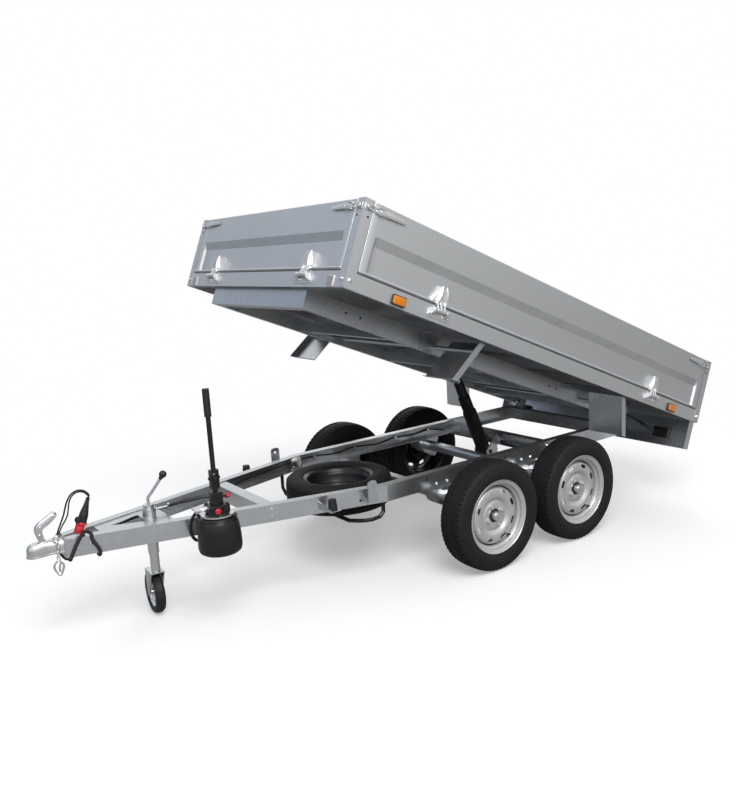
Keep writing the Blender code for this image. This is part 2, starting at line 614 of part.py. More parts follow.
# Jockey wheel: outer tube with its crank on the chassis, then the leg, the fork and the wheel
tube = rod(ROOT, (JOCKEY_X, 0, JOCKEY_TUBE_LOW), (JOCKEY_X, 0, JOCKEY_TUBE_TOP), JOCKEY_TUBE_R, sides=24)
bore = rod(ROOT, (JOCKEY_X, 0, JOCKEY_TUBE_LOW - EPS), (JOCKEY_X, 0, JOCKEY_TUBE_TOP - 0.006), JOCKEY_LEG_R + PIN_FIT, sides=24)
finish(tube, "jockey_tube", "zinc", cut=[bore], smooth=40)
top = JOCKEY_TUBE_TOP + FIT
crank = bar(ROOT, smooth_path([(JOCKEY_X, 0, top), (JOCKEY_X, 0, top + 0.015), (JOCKEY_X + 0.002, 0, top + 0.030),
                               (JOCKEY_X + 0.018, -0.008, top + 0.052), (JOCKEY_X + 0.064, -0.027, top + 0.118)], 0.020), 0.0065)
knob = ball(ROOT, (JOCKEY_X + 0.070, -0.029, top + 0.128), 0.016, sides=12)
finish(crank, "jockey_crank", "zinc", add=[knob], smooth=40)

leg = frame("jockey_leg_axis", ROOT, (JOCKEY_X, 0, 0))
inner = rod(leg, (0, 0, FORK_TOP + FIT), (0, 0, FORK_TOP + 0.215), JOCKEY_LEG_R, sides=24)
finish(inner, "jockey_leg", "zinc", smooth=40)
caster = frame("jockey_caster_axis", leg, (0, 0, 0), (0, 0, JOCKEY_TURN))
cheek_y = JOCKEY_WHEEL_W / 2 + 0.005
crown = box(caster, (-JOCKEY_TRAIL - 0.018, -cheek_y - FORK_T, FORK_TOP - FORK_T), (0.028, cheek_y + FORK_T, FORK_TOP))
cheeks = []
for s in (-1, 1):
    lo, hi = sorted((s * cheek_y, s * (cheek_y + FORK_T)))
    cheeks.append(plate(caster, SIDE, [(0.028, FORK_TOP - 0.001), (-JOCKEY_TRAIL - 0.018, FORK_TOP - 0.001)]
                        + arc(-JOCKEY_TRAIL, JOCKEY_WHEEL_R, 0.018, 180, 330, 6), lo, hi))
spindle = rod(caster, (-JOCKEY_TRAIL, -cheek_y - 0.002, JOCKEY_WHEEL_R), (-JOCKEY_TRAIL, cheek_y + 0.002, JOCKEY_WHEEL_R), 0.006, sides=12)
finish(crown, "jockey_fork", "zinc", add=cheeks + [spindle])
roller = frame("jockey_wheel_axis", caster, (-JOCKEY_TRAIL, 0, JOCKEY_WHEEL_R), (math.pi / 2, 0, 0))
w = JOCKEY_WHEEL_W / 2
finish(turned(roller, [(0.006 + PIN_FIT, w - 0.004), (0.016, w - 0.004), (0.018, 0.006), (0.060, 0.005), (0.066, w - 0.006),
                       (0.070, w - 0.006), (0.070, -w + 0.006), (0.066, -w + 0.006), (0.060, -0.005), (0.018, -0.006),
                       (0.016, -w + 0.004), (0.006 + PIN_FIT, -w + 0.004)], 18), "jockey_rim", "zinc", smooth=35)
finish(turned(roller, [(0.070 + FIT, w - 0.004), (0.078, w), (0.092, w), (JOCKEY_WHEEL_R, w - 0.012),
                       (JOCKEY_WHEEL_R, -w + 0.012), (0.092, -w), (0.078, -w), (0.070 + FIT, -w + 0.004)], 18),
       "jockey_tyre", "tyre_rubber", smooth=35)

# Hand pump: bracket on the rail, tank below it and pump head above, lever on a cross pin
neck_r = 0.052
edge = -rail_edge(PUMP_X)
bracket_low = TANK_LOW + TANK_H + FIT
bracket_t = 0.006
bracket = plate(ROOT, TOP, arc(PUMP_X, PUMP_Y, 0.072, 150, 390, 11) + [(PUMP_X + 0.056, edge + 0.034), (PUMP_X - 0.056, edge + 0.034)],
                bracket_low, bracket_low + bracket_t, holes=[hole(PUMP_X, PUMP_Y, neck_r + FIT, 20)])
leg = box(ROOT, (PUMP_X - 0.040, edge + 0.028, RAIL_TOP + FIT), (PUMP_X + 0.040, edge + 0.034, bracket_low + bracket_t - 0.001))
foot = box(ROOT, (PUMP_X - 0.040, edge + 0.010, RAIL_TOP + FIT), (PUMP_X + 0.040, edge + 0.033, RAIL_TOP + 0.006))
finish(bracket, "pump_bracket", "zinc", add=[leg, foot])
tank_top = bracket_low - FIT
pump = frame("pump", ROOT, (PUMP_X, PUMP_Y, 0))
tank = turned(pump, [(0, tank_top), (0.062, tank_top), (TANK_TOP_R, tank_top - 0.012), (TANK_R - 0.004, tank_top - 0.050),
                     (TANK_R, TANK_LOW + 0.025), (TANK_R - 0.012, TANK_LOW), (0, TANK_LOW)], 28)
head_top = LEVER_Z - 0.060
base_low = bracket_low + bracket_t + 0.006
neck = rod(pump, (0, 0, tank_top - 0.01), (0, 0, base_low + 0.002), neck_r, sides=20)
body = box(pump, (-0.045, -0.042, base_low), (0.045, 0.042, base_low + 0.033))
column = box(pump, (-0.022, -0.024, base_low + 0.030), (0.022, 0.024, head_top))
lug = plate(pump, SIDE, [(-0.010, head_top - 0.01), (0.010, head_top - 0.01)] + arc(0, LEVER_Z, 0.014, 0, 180, 7),
            -0.008, 0.008)
lug.rotation_euler = (math.pi / 2, 0, math.pi / 2)
knobs = [rod(pump, (-0.022, -0.040, base_low + 0.018), (-0.022, -0.062, base_low + 0.018), 0.011, sides=12),
         rod(pump, (0.020, 0.006, base_low + 0.058), (0.062, 0.006, base_low + 0.058), 0.010, sides=12)]
pin_hole = rod(pump, (-0.03, 0, LEVER_Z), (0.03, 0, LEVER_Z), 0.006 + PIN_FIT, sides=12)
finish(tank, "hand_pump", "black_paint", add=[neck, body, column, lug] + knobs, cut=[pin_hole], smooth=35)

lever = frame("pump_lever_axis", pump, (0, 0, LEVER_Z))
stem = rod(lever, (0, 0, 0.030), (0, 0, LEVER_TOP - LEVER_Z), LEVER_R, sides=12)
grip = rod(lever, (0, 0, LEVER_TOP - LEVER_Z - GRIP_L), (0, 0, LEVER_TOP - LEVER_Z + 0.002), GRIP_R, sides=14)
fork = box(lever, (-0.018, -0.013, -0.045), (0.018, 0.013, 0.036))
gap = box(lever, (-0.010, -0.02, -0.05), (0.010, 0.02, 0.020))
pin = rod(lever, (-0.019, 0, 0), (0.019, 0, 0), 0.006, sides=12)
fork_cut = boolean(fork, gap, "DIFFERENCE")
finish(stem, "pump_lever", "black_paint", add=[grip, fork_cut, pin], smooth=40)

# Its hose runs back between the rails, above the axles, to the middle cross member
port_z = base_low + 0.020
near_pump = [(-0.045 - FIT, 0.010, port_z), (-0.054, 0.010, port_z), (-0.063, 0.011, port_z), (-0.080, 0.022, port_z - 0.006),
             (-0.094, 0.045, bracket_low - 0.004), (-0.096, 0.070, 0.470), (-0.092, 0.083, 0.430), (-0.075, 0.085, 0.397), (-0.040, 0.100, 0.384), (0.050, 0.130, 0.380)]
run = [(-1.450, -0.1756, 0.386), (-1.300, -0.2162, 0.388), (-1.200, -0.2433, 0.408), (-0.800, -0.352, 0.412),
       (-0.700, -0.362, 0.412), (0.200, -0.362, 0.412)]
end = [(0.245, -0.355, 0.414), (0.280, -0.320, 0.422), (0.292, -0.260, 0.428), (0.296, -0.180, 0.430), (0.304, -0.125, 0.430),
       (MIDDLE_BEAM_X - 0.010, -0.100, 0.430)]
start = smooth_path([(PUMP_X + x, PUMP_Y + y, z) for x, y, z in near_pump], 0.024)
hose = bar(ROOT, start + run + smooth_path(end, 0.030) + [(MIDDLE_BEAM_X - FIT, -0.100, 0.430)], 0.0075)
finish(hose, "pump_hose", "rubber", smooth=50)

# Bed frame: everything below hangs from the pivot shaft and is drawn as if the bed lay flat
BED = frame("bed_pivot", ROOT, (PIVOT_X, 0, PIVOT_Z), (0, TILT, 0))


def ahead(u):
    """A place u ahead of the bed's rear edge, in the pivot's frame."""
    return PIVOT_AHEAD - u


def up(h):
    """A height above the bed's underside, in the pivot's frame."""
    return h - PIVOT_H


def bed_box(u0, u1, y0, y1, h0, h1, parent=None):
    return box(parent or BED, (ahead(u1), y0, up(h0)), (ahead(u0), y1, up(h1)))


# Floor with its folded edge beam, cross ribs, corner posts and the fixed halves of the hinges
half_w = BED_W / 2
floor = bed_box(0, BED_L, -half_w, half_w, 0, FLOOR_H)
RIBS = [RIB_END + i * (BED_L - 2 * RIB_END) / (RIB_COUNT - 1) for i in range(RIB_COUNT)]
cuts = []
for u0, u1 in zip(RIBS, RIBS[1:]):
    cuts.append(bed_box(u0 + RIB_T / 2, u1 - RIB_T / 2, -half_w + LIP, half_w - LIP, -EPS, FLOOR_H - SHEET))
cuts.append(bed_box(LIP, BED_L - LIP, -half_w + LIP, half_w - LIP, -EPS, FLOOR_H - SHEET - RIB_H))
adds = []
POST_LAP = 0.001        # the posts' sheet lies this far outside the floor's edge
post_y = half_w + POST_LAP
for u, t in ((-POST_LAP, 1), (BED_L + POST_LAP, -1)):
    for s in (-1, 1):
        outline = [(ahead(u), s * post_y), (ahead(u + t * POST), s * post_y), (ahead(u + t * POST), s * (post_y - SHEET)),
                   (ahead(u + t * SHEET), s * (post_y - SHEET)), (ahead(u + t * SHEET), s * (post_y - POST)),
                   (ahead(u), s * (post_y - POST))]
        adds.append(plate(BED, TOP, outline, up(0.004), up(BED_H)))

# The four drop sides: where each lies, its length, and its hinges from its middle
# name, centre ahead, centre y, outward direction (radians in the bed's plan), length, hinge offset
SIDE_L = BED_L - 2 * POST - 2 * PANEL_GAP
END_L = BED_W - 2 * POST - 2 * PANEL_GAP
SIDE_HINGE = BED_L / 2 - SIDE_HINGE_IN
END_HINGE = half_w - END_HINGE_IN
DROPS = (
    ("side_left", BED_L / 2, -half_w, math.radians(-90), SIDE_L, SIDE_HINGE),
    ("side_right", BED_L / 2, half_w, math.radians(90), SIDE_L, SIDE_HINGE),
    ("front_board", BED_L, 0, math.radians(180), END_L, END_HINGE),
    ("tailgate", 0, 0, 0.0, END_L, END_HINGE),
)
for name, u, y, turn, length, hinge_off in DROPS:
    # In this frame +X points out of the bed, Y runs along the board and Z is up
    station = frame(name + "_station", BED, (ahead(u), y, up(0)), (0, 0, turn))
    for off in (-hinge_off, hinge_off):
        for t in (-1, 1):
            y0, y1 = sorted((off + t * (HINGE_W / 2 + 0.006), off + t * (HINGE_W / 2 + 0.020)))
            adds.append(plate(station, SIDE, [(-0.002, HINGE_H - 0.026), (HINGE_OUT, HINGE_H - HINGE_R)]
                              + arc(HINGE_OUT, HINGE_H, HINGE_R, -45, 90, 4) + [(-0.002, HINGE_H + HINGE_R)], y0, y1))
    axis = frame(name + "_hinge", station, (HINGE_OUT, 0, HINGE_H))
    low = FLOOR_H + 0.003
    x_out = -HINGE_OUT
    z = -HINGE_H
    board = box(axis, (x_out - PANEL_T, -length / 2, z + low), (x_out, length / 2, z + BED_H))
    recess = plate(axis, SIDE, [(x_out + EPS, z + FOLD_TOP + EPS * 3.6), (x_out - FOLD_DEPTH, z + FOLD_LOW),
                                (x_out - FOLD_DEPTH, z + low + 0.012), (x_out + EPS, z + low + 0.004)],
                   -length / 2 + FOLD_END, length / 2 - FOLD_END)
    straps = []
    for off in (-hinge_off, hinge_off):
        straps.append(plate(axis, FRONT, [(off - 0.060, z + low + 0.004), (off + 0.060, z + low + 0.004),
                                          (off + 0.015, z + 0.158), (off - 0.015, z + 0.158)],
                            x_out - FOLD_DEPTH - 0.001, x_out + 0.003))
        for fin in (off - 0.0135, off + 0.0105):
            straps.append(plate(axis, SIDE, [(x_out + 0.001, z + 0.084), (x_out + 0.013, z + 0.092), (x_out + 0.013, z + 0.124),
                                             (x_out + 0.001, z + 0.152)], fin, fin + 0.003))
        straps.append(plate(axis, SIDE, [(-HINGE_R, 0), (x_out - 0.002, z + low + 0.004), (x_out - 0.002, z + low + 0.030),
                                         (x_out + 0.004, z + low + 0.030)]
                            + arc(0, 0, HINGE_R, 60, -90, 6), off - HINGE_W / 2, off + HINGE_W / 2))
        straps.append(rod(axis, (0, off - HINGE_W / 2 - 0.0055, 0), (0, off + HINGE_W / 2 + 0.0055, 0), 0.004, sides=10))
    for t in (-1, 1):
        root = length / 2 - 0.004
        tail = root - LATCH_L
        y0, y1 = sorted((t * root, t * (root - 0.050)))
        straps.append(box(axis, (x_out - 0.001, y0, z + LATCH_H - 0.016), (x_out + 0.004, y1, z + LATCH_H + 0.016)))
        bow = [(tail + 0.009 * math.cos(a), z + LATCH_H + 0.009 * math.sin(a))
               for a in (math.radians(g) for g in (90, 135, 180, 225, 270))]
        straps.append(plate(axis, FRONT, [(t * y, h) for y, h in [(root, z + LATCH_H - 0.012), (root, z + LATCH_H + 0.012)] + bow],
                            x_out - 0.001, x_out + LATCH_OUT))
    boolean(board, recess, "DIFFERENCE")
    finish(board, name, "bed_sheet", add=straps, solver="MANIFOLD")

finish(floor, "bed_floor", "bed_sheet", add=adds, cut=cuts, solver="MANIFOLD")

# Lifting sub-frame: two C beams, front beam, two cross beams and the cylinder's upper ears
sub_top = -FIT
beams = []
hollows = []
main = bed_box(SUB_FRONT - SUB_W, SUB_FRONT, -SUB_OUT_Y, SUB_OUT_Y, -SUB_H, sub_top)
for s in (-1, 1):
    y0, y1 = sorted((s * (SUB_OUT_Y - SUB_W), s * SUB_OUT_Y))
    beams.append(bed_box(PIVOT_AHEAD - 0.024, SUB_FRONT, y0, y1, -SUB_H, sub_top))
    y0, y1 = sorted((s * (SUB_OUT_Y - SUB_W - EPS), s * (SUB_OUT_Y - SHEET)))
    hollows.append(bed_box(PIVOT_AHEAD - 0.024 - EPS, SUB_FRONT - SHEET, y0, y1, -SUB_H + SHEET, sub_top - SHEET))
hollows.append(bed_box(SUB_FRONT - SUB_W - EPS, SUB_FRONT - SHEET, -SUB_OUT_Y + SHEET, SUB_OUT_Y - SHEET,
                       -SUB_H + SHEET, sub_top - SHEET))
for other in beams:
    boolean(main, other, "UNION")
for other in hollows:
    boolean(main, other, "DIFFERENCE")
cross = [bed_box(u, u + SUB_BEAM_L, -SUB_OUT_Y + SHEET / 2, SUB_OUT_Y - SHEET / 2, -SUB_H + SHEET / 2, -SUB_H + 0.055)
         for u in SUB_BEAMS]
ear_rear = SUB_BEAMS[1] + 0.005
ear_front = SUB_BEAMS[2] + 0.025
for s in (-1, 1):
    lo, hi = sorted((s * EAR_Y, s * (EAR_Y + EAR_T)))
    cross.append(plate(BED, SIDE, [(ahead(ear_rear), up(-SUB_H + 0.002)), (ahead(ear_front), up(-SUB_H + 0.002)),
                                   (ahead(ear_front), up(-SUB_H + 0.053)), (ahead(EYE_AHEAD + 0.070), up(-0.004)),
                                   (ahead(EYE_AHEAD - 0.070), up(-0.004)), (ahead(ear_rear), up(-SUB_H + 0.053))], lo, hi,
                       holes=[hole(ahead(EYE_AHEAD), up(EYE_H), 0.011, 12)]))
pins = [rod(BED, (0, -SUB_OUT_Y - 0.01, 0), (0, SUB_OUT_Y + 0.01, 0), (PIVOT_R + PIN_FIT) / math.cos(math.pi / 16))]
FLAPS = (
    # name, place ahead at the top, place ahead at the lip, way the lip is bent
    ("mudflaps_front", 1.775, 1.885, 1),
    ("mudflaps_rear", 0.700, 0.620, -1),
)
for name, u_top, u_lip, lean in FLAPS:
    u_bar = u_top + (u_lip - u_top) * (-FLAP_BAR_H) / FLAP_DROP + lean * (FLAP_BAR_R + 0.001)
    pins.append(rod(BED, (ahead(u_bar), -SUB_OUT_Y - 0.02, up(FLAP_BAR_H)), (ahead(u_bar), SUB_OUT_Y + 0.02, up(FLAP_BAR_H)),
                    FLAP_BAR_R + FIT, sides=12))
    cross_bar = rod(BED, (ahead(u_bar), -FLAP_OUT_Y + 0.004, up(FLAP_BAR_H)), (ahead(u_bar), FLAP_OUT_Y - 0.004, up(FLAP_BAR_H)),
                    FLAP_BAR_R, sides=12)
    flaps = []
    for s in (-1, 1):
        y0, y1 = sorted((s * FLAP_IN_Y, s * FLAP_OUT_Y))
        t = SHEET
        face = [(ahead(u_top), up(-0.004)), (ahead(u_lip), up(-FLAP_DROP)),
                (ahead(u_lip + lean * 0.020), up(-FLAP_DROP)), (ahead(u_lip + lean * 0.020), up(-FLAP_DROP + t)),
                (ahead(u_lip + lean * t), up(-FLAP_DROP + t)), (ahead(u_top + lean * t), up(-0.004))]
        flaps.append(plate(BED, SIDE, face, y0, y1))
        edge0, edge1 = sorted((s * (FLAP_OUT_Y - t), s * FLAP_OUT_Y))
        flaps.append(plate(BED, SIDE, [(ahead(u_top), up(-0.004)), (ahead(u_lip), up(-FLAP_DROP)),
                                       (ahead(u_lip + lean * 0.035), up(-FLAP_DROP)), (ahead(u_top + lean * 0.035), up(-0.004))],
                           edge0, edge1))
    finish(cross_bar, name, "galvanized", add=flaps)
finish(main, "bed_subframe", "galvanized", add=cross, cut=pins)

# Light board under the bed's rear edge
board = bed_box(BOARD_AHEAD, BOARD_AHEAD + SHEET, -half_w + 0.008, half_w - 0.008, -BOARD_H, -FIT)
returns = [bed_box(BOARD_AHEAD, BOARD_AHEAD + 0.020, -half_w + 0.008, half_w - 0.008, -BOARD_H, -BOARD_H + SHEET)]
for s in (-1, 1):
    y0, y1 = sorted((s * (half_w - 0.008), s * (half_w - 0.008 - SHEET)))
    returns.append(bed_box(BOARD_AHEAD, BOARD_AHEAD + BOARD_RETURN, y0, y1, -BOARD_H, -FIT))
openings = []
for side, s in SIDES:
    y = s * (half_w - LAMP_IN)
    openings.append(bed_box(0, 0.1, y - 0.050, y + 0.050, -0.120, -0.060))
finish(board, "light_board", "galvanized", add=returns, cut=openings)
for side, s in SIDES:
    y = s * (half_w - LAMP_IN)
    lens = bed_box(BOARD_AHEAD - 0.032, BOARD_AHEAD - FIT, y - 0.110, y + 0.110, -0.140, -0.040)
    back = bed_box(BOARD_AHEAD - 0.004, BOARD_AHEAD + 0.034, y - 0.050 + FIT, y + 0.050 - FIT, -0.120 + FIT, -0.060 - FIT)
    finish(lens, "tail_lamp_" + side, "lamp_red", add=[back])

# Side markers and front reflectors on the bed's edge
for side, s in SIDES:
    for where, u in (("front", BED_L - MARKER_FRONT), ("rear", MARKER_REAR)):
        y0, y1 = sorted((s * (half_w + FIT), s * (half_w + 0.016)))
        lamp = bed_box(u - MARKER_HALF, u + MARKER_HALF, y0, y1, 0.010, 0.046)
        bevel = lamp.modifiers.new("round", "BEVEL")
        bevel.width = 0.006
        bevel.segments = 2
        finish(lamp, "marker_{}_{}".format(where, side), "amber")
    y0, y1 = sorted((s * (half_w - REFLECTOR_IN - 0.020), s * (half_w - REFLECTOR_IN + 0.020)))
    finish(bed_box(BED_L + FIT, BED_L + 0.007, y0, y1, 0.006, 0.046), "reflector_" + side, "clear_white")

# Lifting cylinder: foot pin on the chassis, three inner stages, eye between the bed's ears
eye_x = PIVOT_X + ahead(EYE_AHEAD) * math.cos(TILT) + up(EYE_H) * math.sin(TILT)
eye_z = PIVOT_Z - ahead(EYE_AHEAD) * math.sin(TILT) + up(EYE_H) * math.cos(TILT)
reach = math.hypot(eye_x - FOOT_X, eye_z - FOOT_Z)
lean = math.atan2(eye_x - FOOT_X, eye_z - FOOT_Z)
foot = frame("cylinder_foot", ROOT, (FOOT_X, 0, FOOT_Z), (0, lean, 0))
barrel = rod(foot, (0, 0, -0.026), (0, 0, BARREL_L), BARREL_R, sides=20)
foot_pin = rod(foot, (0, -EAR_Y - EAR_T - 0.004, 0), (0, EAR_Y + EAR_T + 0.004, 0), 0.012, sides=14)
bore = rod(foot, (0, 0, 0.020), (0, 0, BARREL_L + EPS), BARREL_R - STAGE_STEP + PIN_FIT, sides=20)
finish(barrel, "cylinder_barrel", "black_paint", add=[foot_pin], cut=[bore], smooth=40)
rise = (reach - (BARREL_L + 0.025)) / 3
for i, name in enumerate(("cylinder_stage_2", "cylinder_stage_3", "cylinder_rod"), 1):
    radius = BARREL_R - i * STAGE_STEP
    low = 0.024 + i * (rise + STAGE_WALL + STAGE_AIR)
    high = BARREL_L + 0.002 * i + i * rise
    slide = frame(name + "_slide", foot, (0, 0, 0))
    stage = rod(slide, (0, 0, low), (0, 0, high), radius, sides=20)
    if i < 3:
        bore = rod(slide, (0, 0, low + STAGE_WALL), (0, 0, high + EPS), radius - STAGE_STEP + PIN_FIT, sides=20)
        finish(stage, name, "black_paint", cut=[bore], smooth=40)
    else:
        eye = rod(slide, (0, -0.018, reach), (0, 0.018, reach), EYE_R, sides=16)
        cross_pin = rod(slide, (0, -EAR_Y + 0.006, reach), (0, EAR_Y - 0.006, reach), 0.010, sides=12)
        finish(stage, name, "black_paint", add=[eye, cross_pin], smooth=40)

# Cable with its parked plug, wound once round the drawbar
cable_r = 0.0065
plug_top = Vector((-2.0286, -0.035, 0.6310))
plug_low = Vector((-2.083, -0.035, 0.4890))
plug_way = (plug_low - plug_top).normalized()
out = cable_r + 0.001
low_z = RAIL_TOP - RAIL_H - out


def corner(x, side, level):
    """Three points that lead the cable round a rail's outer corner, from below or above it outward."""
    e = rail_edge(x)
    z = RAIL_TOP if level > 0 else RAIL_TOP - RAIL_H
    return [(x, side * (e - 0.014), z + level * (out + 0.0015)), (x, side * (e + out * 0.75), z + level * out * 0.75),
            (x, side * (e + out + 0.0015), z - level * 0.014)]


route = [(-2.006, 0.0, low_z - 0.006)]
route += corner(-2.024, -1, -1)
route += [(x - 0.010, y, z) for x, y, z in reversed(corner(-2.038, -1, 1))]
route += [(-2.068, -rail_edge(-2.068) + 0.004, RAIL_TOP + out + 0.014)]
route += [(-2.092, -rail_edge(-2.092) - out - 0.004, 0.482), (-2.116, -rail_edge(-2.116) - out - 0.002, 0.440)]
route += [(x, y, z) for x, y, z in reversed(corner(-2.136, -1, -1))][1:]
route += [(-2.142, 0.0, low_z - 0.008)]
route += corner(-2.146, 1, -1)
route += [(-2.150, rail_edge(RAIL_FRONT) + out + 0.004, 0.462), (-2.142, rail_edge(RAIL_FRONT) + out + 0.004, 0.490), (-2.132, 0.050, 0.520),
          (-2.119, 0.034, 0.560), (-2.104, 0.022, 0.612), (-2.087, 0.006, 0.647), (-2.064, -0.012, 0.664),
          (-2.040, -0.027, 0.661), tuple(plug_top - plug_way * 0.012)]
cable = bar(ROOT, smooth_path(route, 0.018) + [tuple(plug_top)], cable_r, 1)
finish(cable, "cable", "rubber", smooth=50)
plug_top += plug_way * FIT
boot = rod(ROOT, plug_top, plug_top.lerp(plug_low, 0.72), 0.009, 0.019, sides=14)
ring = rod(ROOT, plug_top.lerp(plug_low, 0.70), plug_low, 0.021, sides=16)
finish(boot, "plug", "plastic_black", add=[ring], smooth=40)
bpy.context.view_layer.update()
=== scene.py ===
"""Looks of a tipping trailer with two axles.  Laid out as a Blender add-on and run as a script.

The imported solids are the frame: +X to the trailer's rear, +Y to its right, +Z up, metres.
Chassis places are given from the middle between the axles.  Bed places are given as
(distance ahead of the bed's rear edge, y, height above its underside), as if it lay flat.
"""
import json
import math

import bmesh
import bpy
import numpy as np
from bpy.props import FloatProperty, FloatVectorProperty, IntProperty, PointerProperty
from bpy.types import Operator, Panel, PropertyGroup
from mathutils import Matrix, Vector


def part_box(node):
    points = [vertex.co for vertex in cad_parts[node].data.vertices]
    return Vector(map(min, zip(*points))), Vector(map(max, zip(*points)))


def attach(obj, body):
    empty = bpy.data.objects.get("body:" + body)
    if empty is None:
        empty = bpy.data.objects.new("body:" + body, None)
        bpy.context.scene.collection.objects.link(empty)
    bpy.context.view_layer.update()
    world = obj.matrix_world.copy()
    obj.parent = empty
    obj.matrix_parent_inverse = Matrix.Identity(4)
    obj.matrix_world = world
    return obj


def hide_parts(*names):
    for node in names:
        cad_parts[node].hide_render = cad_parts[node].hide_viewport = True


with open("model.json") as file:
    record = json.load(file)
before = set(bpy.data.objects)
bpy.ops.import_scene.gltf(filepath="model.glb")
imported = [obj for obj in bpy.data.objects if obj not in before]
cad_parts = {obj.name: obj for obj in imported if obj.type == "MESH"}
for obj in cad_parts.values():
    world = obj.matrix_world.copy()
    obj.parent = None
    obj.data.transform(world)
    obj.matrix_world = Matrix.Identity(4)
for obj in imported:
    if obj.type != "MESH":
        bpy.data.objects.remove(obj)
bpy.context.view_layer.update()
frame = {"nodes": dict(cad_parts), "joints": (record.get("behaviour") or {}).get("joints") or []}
JOINTS = {joint["name"]: joint for joint in frame["joints"]}

bl_info = {
    "name": "Tipping trailer",
    "version": (1, 0, 0),
    "blender": (4, 5, 0),
    "location": "View3D > Sidebar > Trailer",
    "description": "Dresses a tipping trailer's solids with finishes and fine pieces",
    "category": "Object",
}

# Places shared by several pieces
TILT = math.radians(21.88)
PIVOT = JOINTS["bed_tilt"]["pos_m"]
AXLES_X = (JOINTS["wheel_front_left_spin"]["pos_m"][0] + JOINTS["wheel_rear_left_spin"]["pos_m"][0]) / 2
BED_L, BED_W, BED_H, FLOOR_H = 2.626, 1.496, 0.368, 0.070
PIVOT_H = -0.060
PIVOT_AHEAD = (0.571 - 0.463 + PIVOT_H * (1 - math.cos(TILT))) / math.sin(TILT)
POST, PANEL_GAP, PANEL_T = 0.048, 0.003, 0.025
BOARD_LOW = FLOOR_H + PANEL_GAP
SIDES = (("left", -1), ("right", 1))
RAIL_TOP, RAIL_H, RAIL_W, RAIL_T = 0.480, 0.080, 0.045, 0.004
RAIL_OUT_Y, RAIL_BEND, RAIL_FRONT, RAIL_SLOPE = 0.427, -0.762, -2.150, 0.271
JOCKEY_X, JOCKEY_TOP = -1.765, 0.5303
PUMP_X, PUMP_Y, TANK_LOW, TANK_TOP, LEVER_Z, LEVER_TOP = -1.582, -0.3168, 0.350, 0.515, 0.675, 1.055
BALL_X, COUPLING_LOW, COUPLING_HALF = -2.258, 0.424, 0.039
BOARD_AHEAD, LAMP_Y, REFLECTOR_Y = 0.020, 0.560, 0.652
MARKER_REAR, MARKER_FRONT, MARKER_HALF = 0.296, 2.348, 0.033
CABLE_R = 0.0065
PLUG_TOP, PLUG_LOW = np.array([-2.0286, -0.035, 0.6310]), np.array([-2.083, -0.035, 0.4890])
# the order in which an outline's two directions (0, 1) and its raised height (2) become x, y and z
FACING_OUT, FACING_SIDEWAYS = (2, 0, 1), (0, 2, 1)
# board, its middle ahead and y, its outward turn in the bed's plan, length, hinges off its middle
LONG, SHORT = BED_L - 2 * (POST + PANEL_GAP), BED_W - 2 * (POST + PANEL_GAP)
BOARDS = (
    ("side_left", BED_L / 2, -BED_W / 2, -90, LONG, 0.810),
    ("side_right", BED_L / 2, BED_W / 2, 90, LONG, 0.810),
    ("front_board", BED_L, 0.0, 180, SHORT, 0.440),
    ("tailgate", 0.0, 0.0, 0, SHORT, 0.440),
)


def chassis(points):
    """Chassis places to the row's frame."""
    return np.asarray(points, float) + [AXLES_X, 0, 0]


def rail_edge(x):
    """How far a rail's outer face lies from the middle, at a place along the chassis."""
    return RAIL_OUT_Y - max(0.0, RAIL_BEND - x) * RAIL_SLOPE


def rail_facing(x, side):
    """The direction that a rail's outer face looks in, at a place along the chassis."""
    return -0.262 if x < RAIL_BEND else 0, side * 0.965, 0


def bed(points):
    """Places (ahead, y, height) on the lowered bed, tilted to where it stands."""
    p = np.asarray(points, float)
    x, z = PIVOT_AHEAD - p[..., 0], p[..., 2] - PIVOT_H
    return np.stack([PIVOT[0] + x * math.cos(TILT) + z * math.sin(TILT), p[..., 1],
                     PIVOT[2] - x * math.sin(TILT) + z * math.cos(TILT)], -1)


def on_board(points, board):
    """Places (out, along, height) on a board's face to the row's frame."""
    p = np.asarray(points, float)
    _, ahead, y, turn, _, _ = board
    c, s = math.cos(math.radians(turn)), math.sin(math.radians(turn))
    return bed(np.stack([ahead - p[..., 0] * c + p[..., 1] * s,
                         y + p[..., 0] * s + p[..., 1] * c, p[..., 2]], -1))


def step(value, start, end):
    """0 before start, 1 after end, a smooth rise between them."""
    t = np.clip((value - start) / (end - start), 0, 1)
    return t * t * (3 - 2 * t)


def ring(count, start=0.0):
    """Angles of `count` points evenly round a circle."""
    return start + np.arange(count) * 2 * math.pi / count


def unit(vectors):
    """Vectors made one long."""
    return vectors / np.linalg.norm(vectors, axis=-1, keepdims=True)


def skin(points, close_rows=False, caps=False):
    """A surface over an array of points (rows, columns, 3): four-sided faces between
    neighbouring rows and columns.  Each row runs round; on request the rows do so too, or the
    first and the last are filled."""
    points = np.asarray(points, float)
    rows, columns = points.shape[:2]
    index = np.arange(rows * columns).reshape(rows, columns)
    first, last = index[0], index[-1]
    if close_rows:
        index = np.vstack([index, index[:1]])
    index = np.hstack([index, index[:, :1]])
    corners = [index[:-1, :-1], index[:-1, 1:], index[1:, 1:], index[1:, :-1]]
    faces = np.stack(corners, -1).reshape(-1, 4).tolist()
    if caps:
        faces += [first[::-1].tolist(), last.tolist()]
    return points.reshape(-1, 3), faces


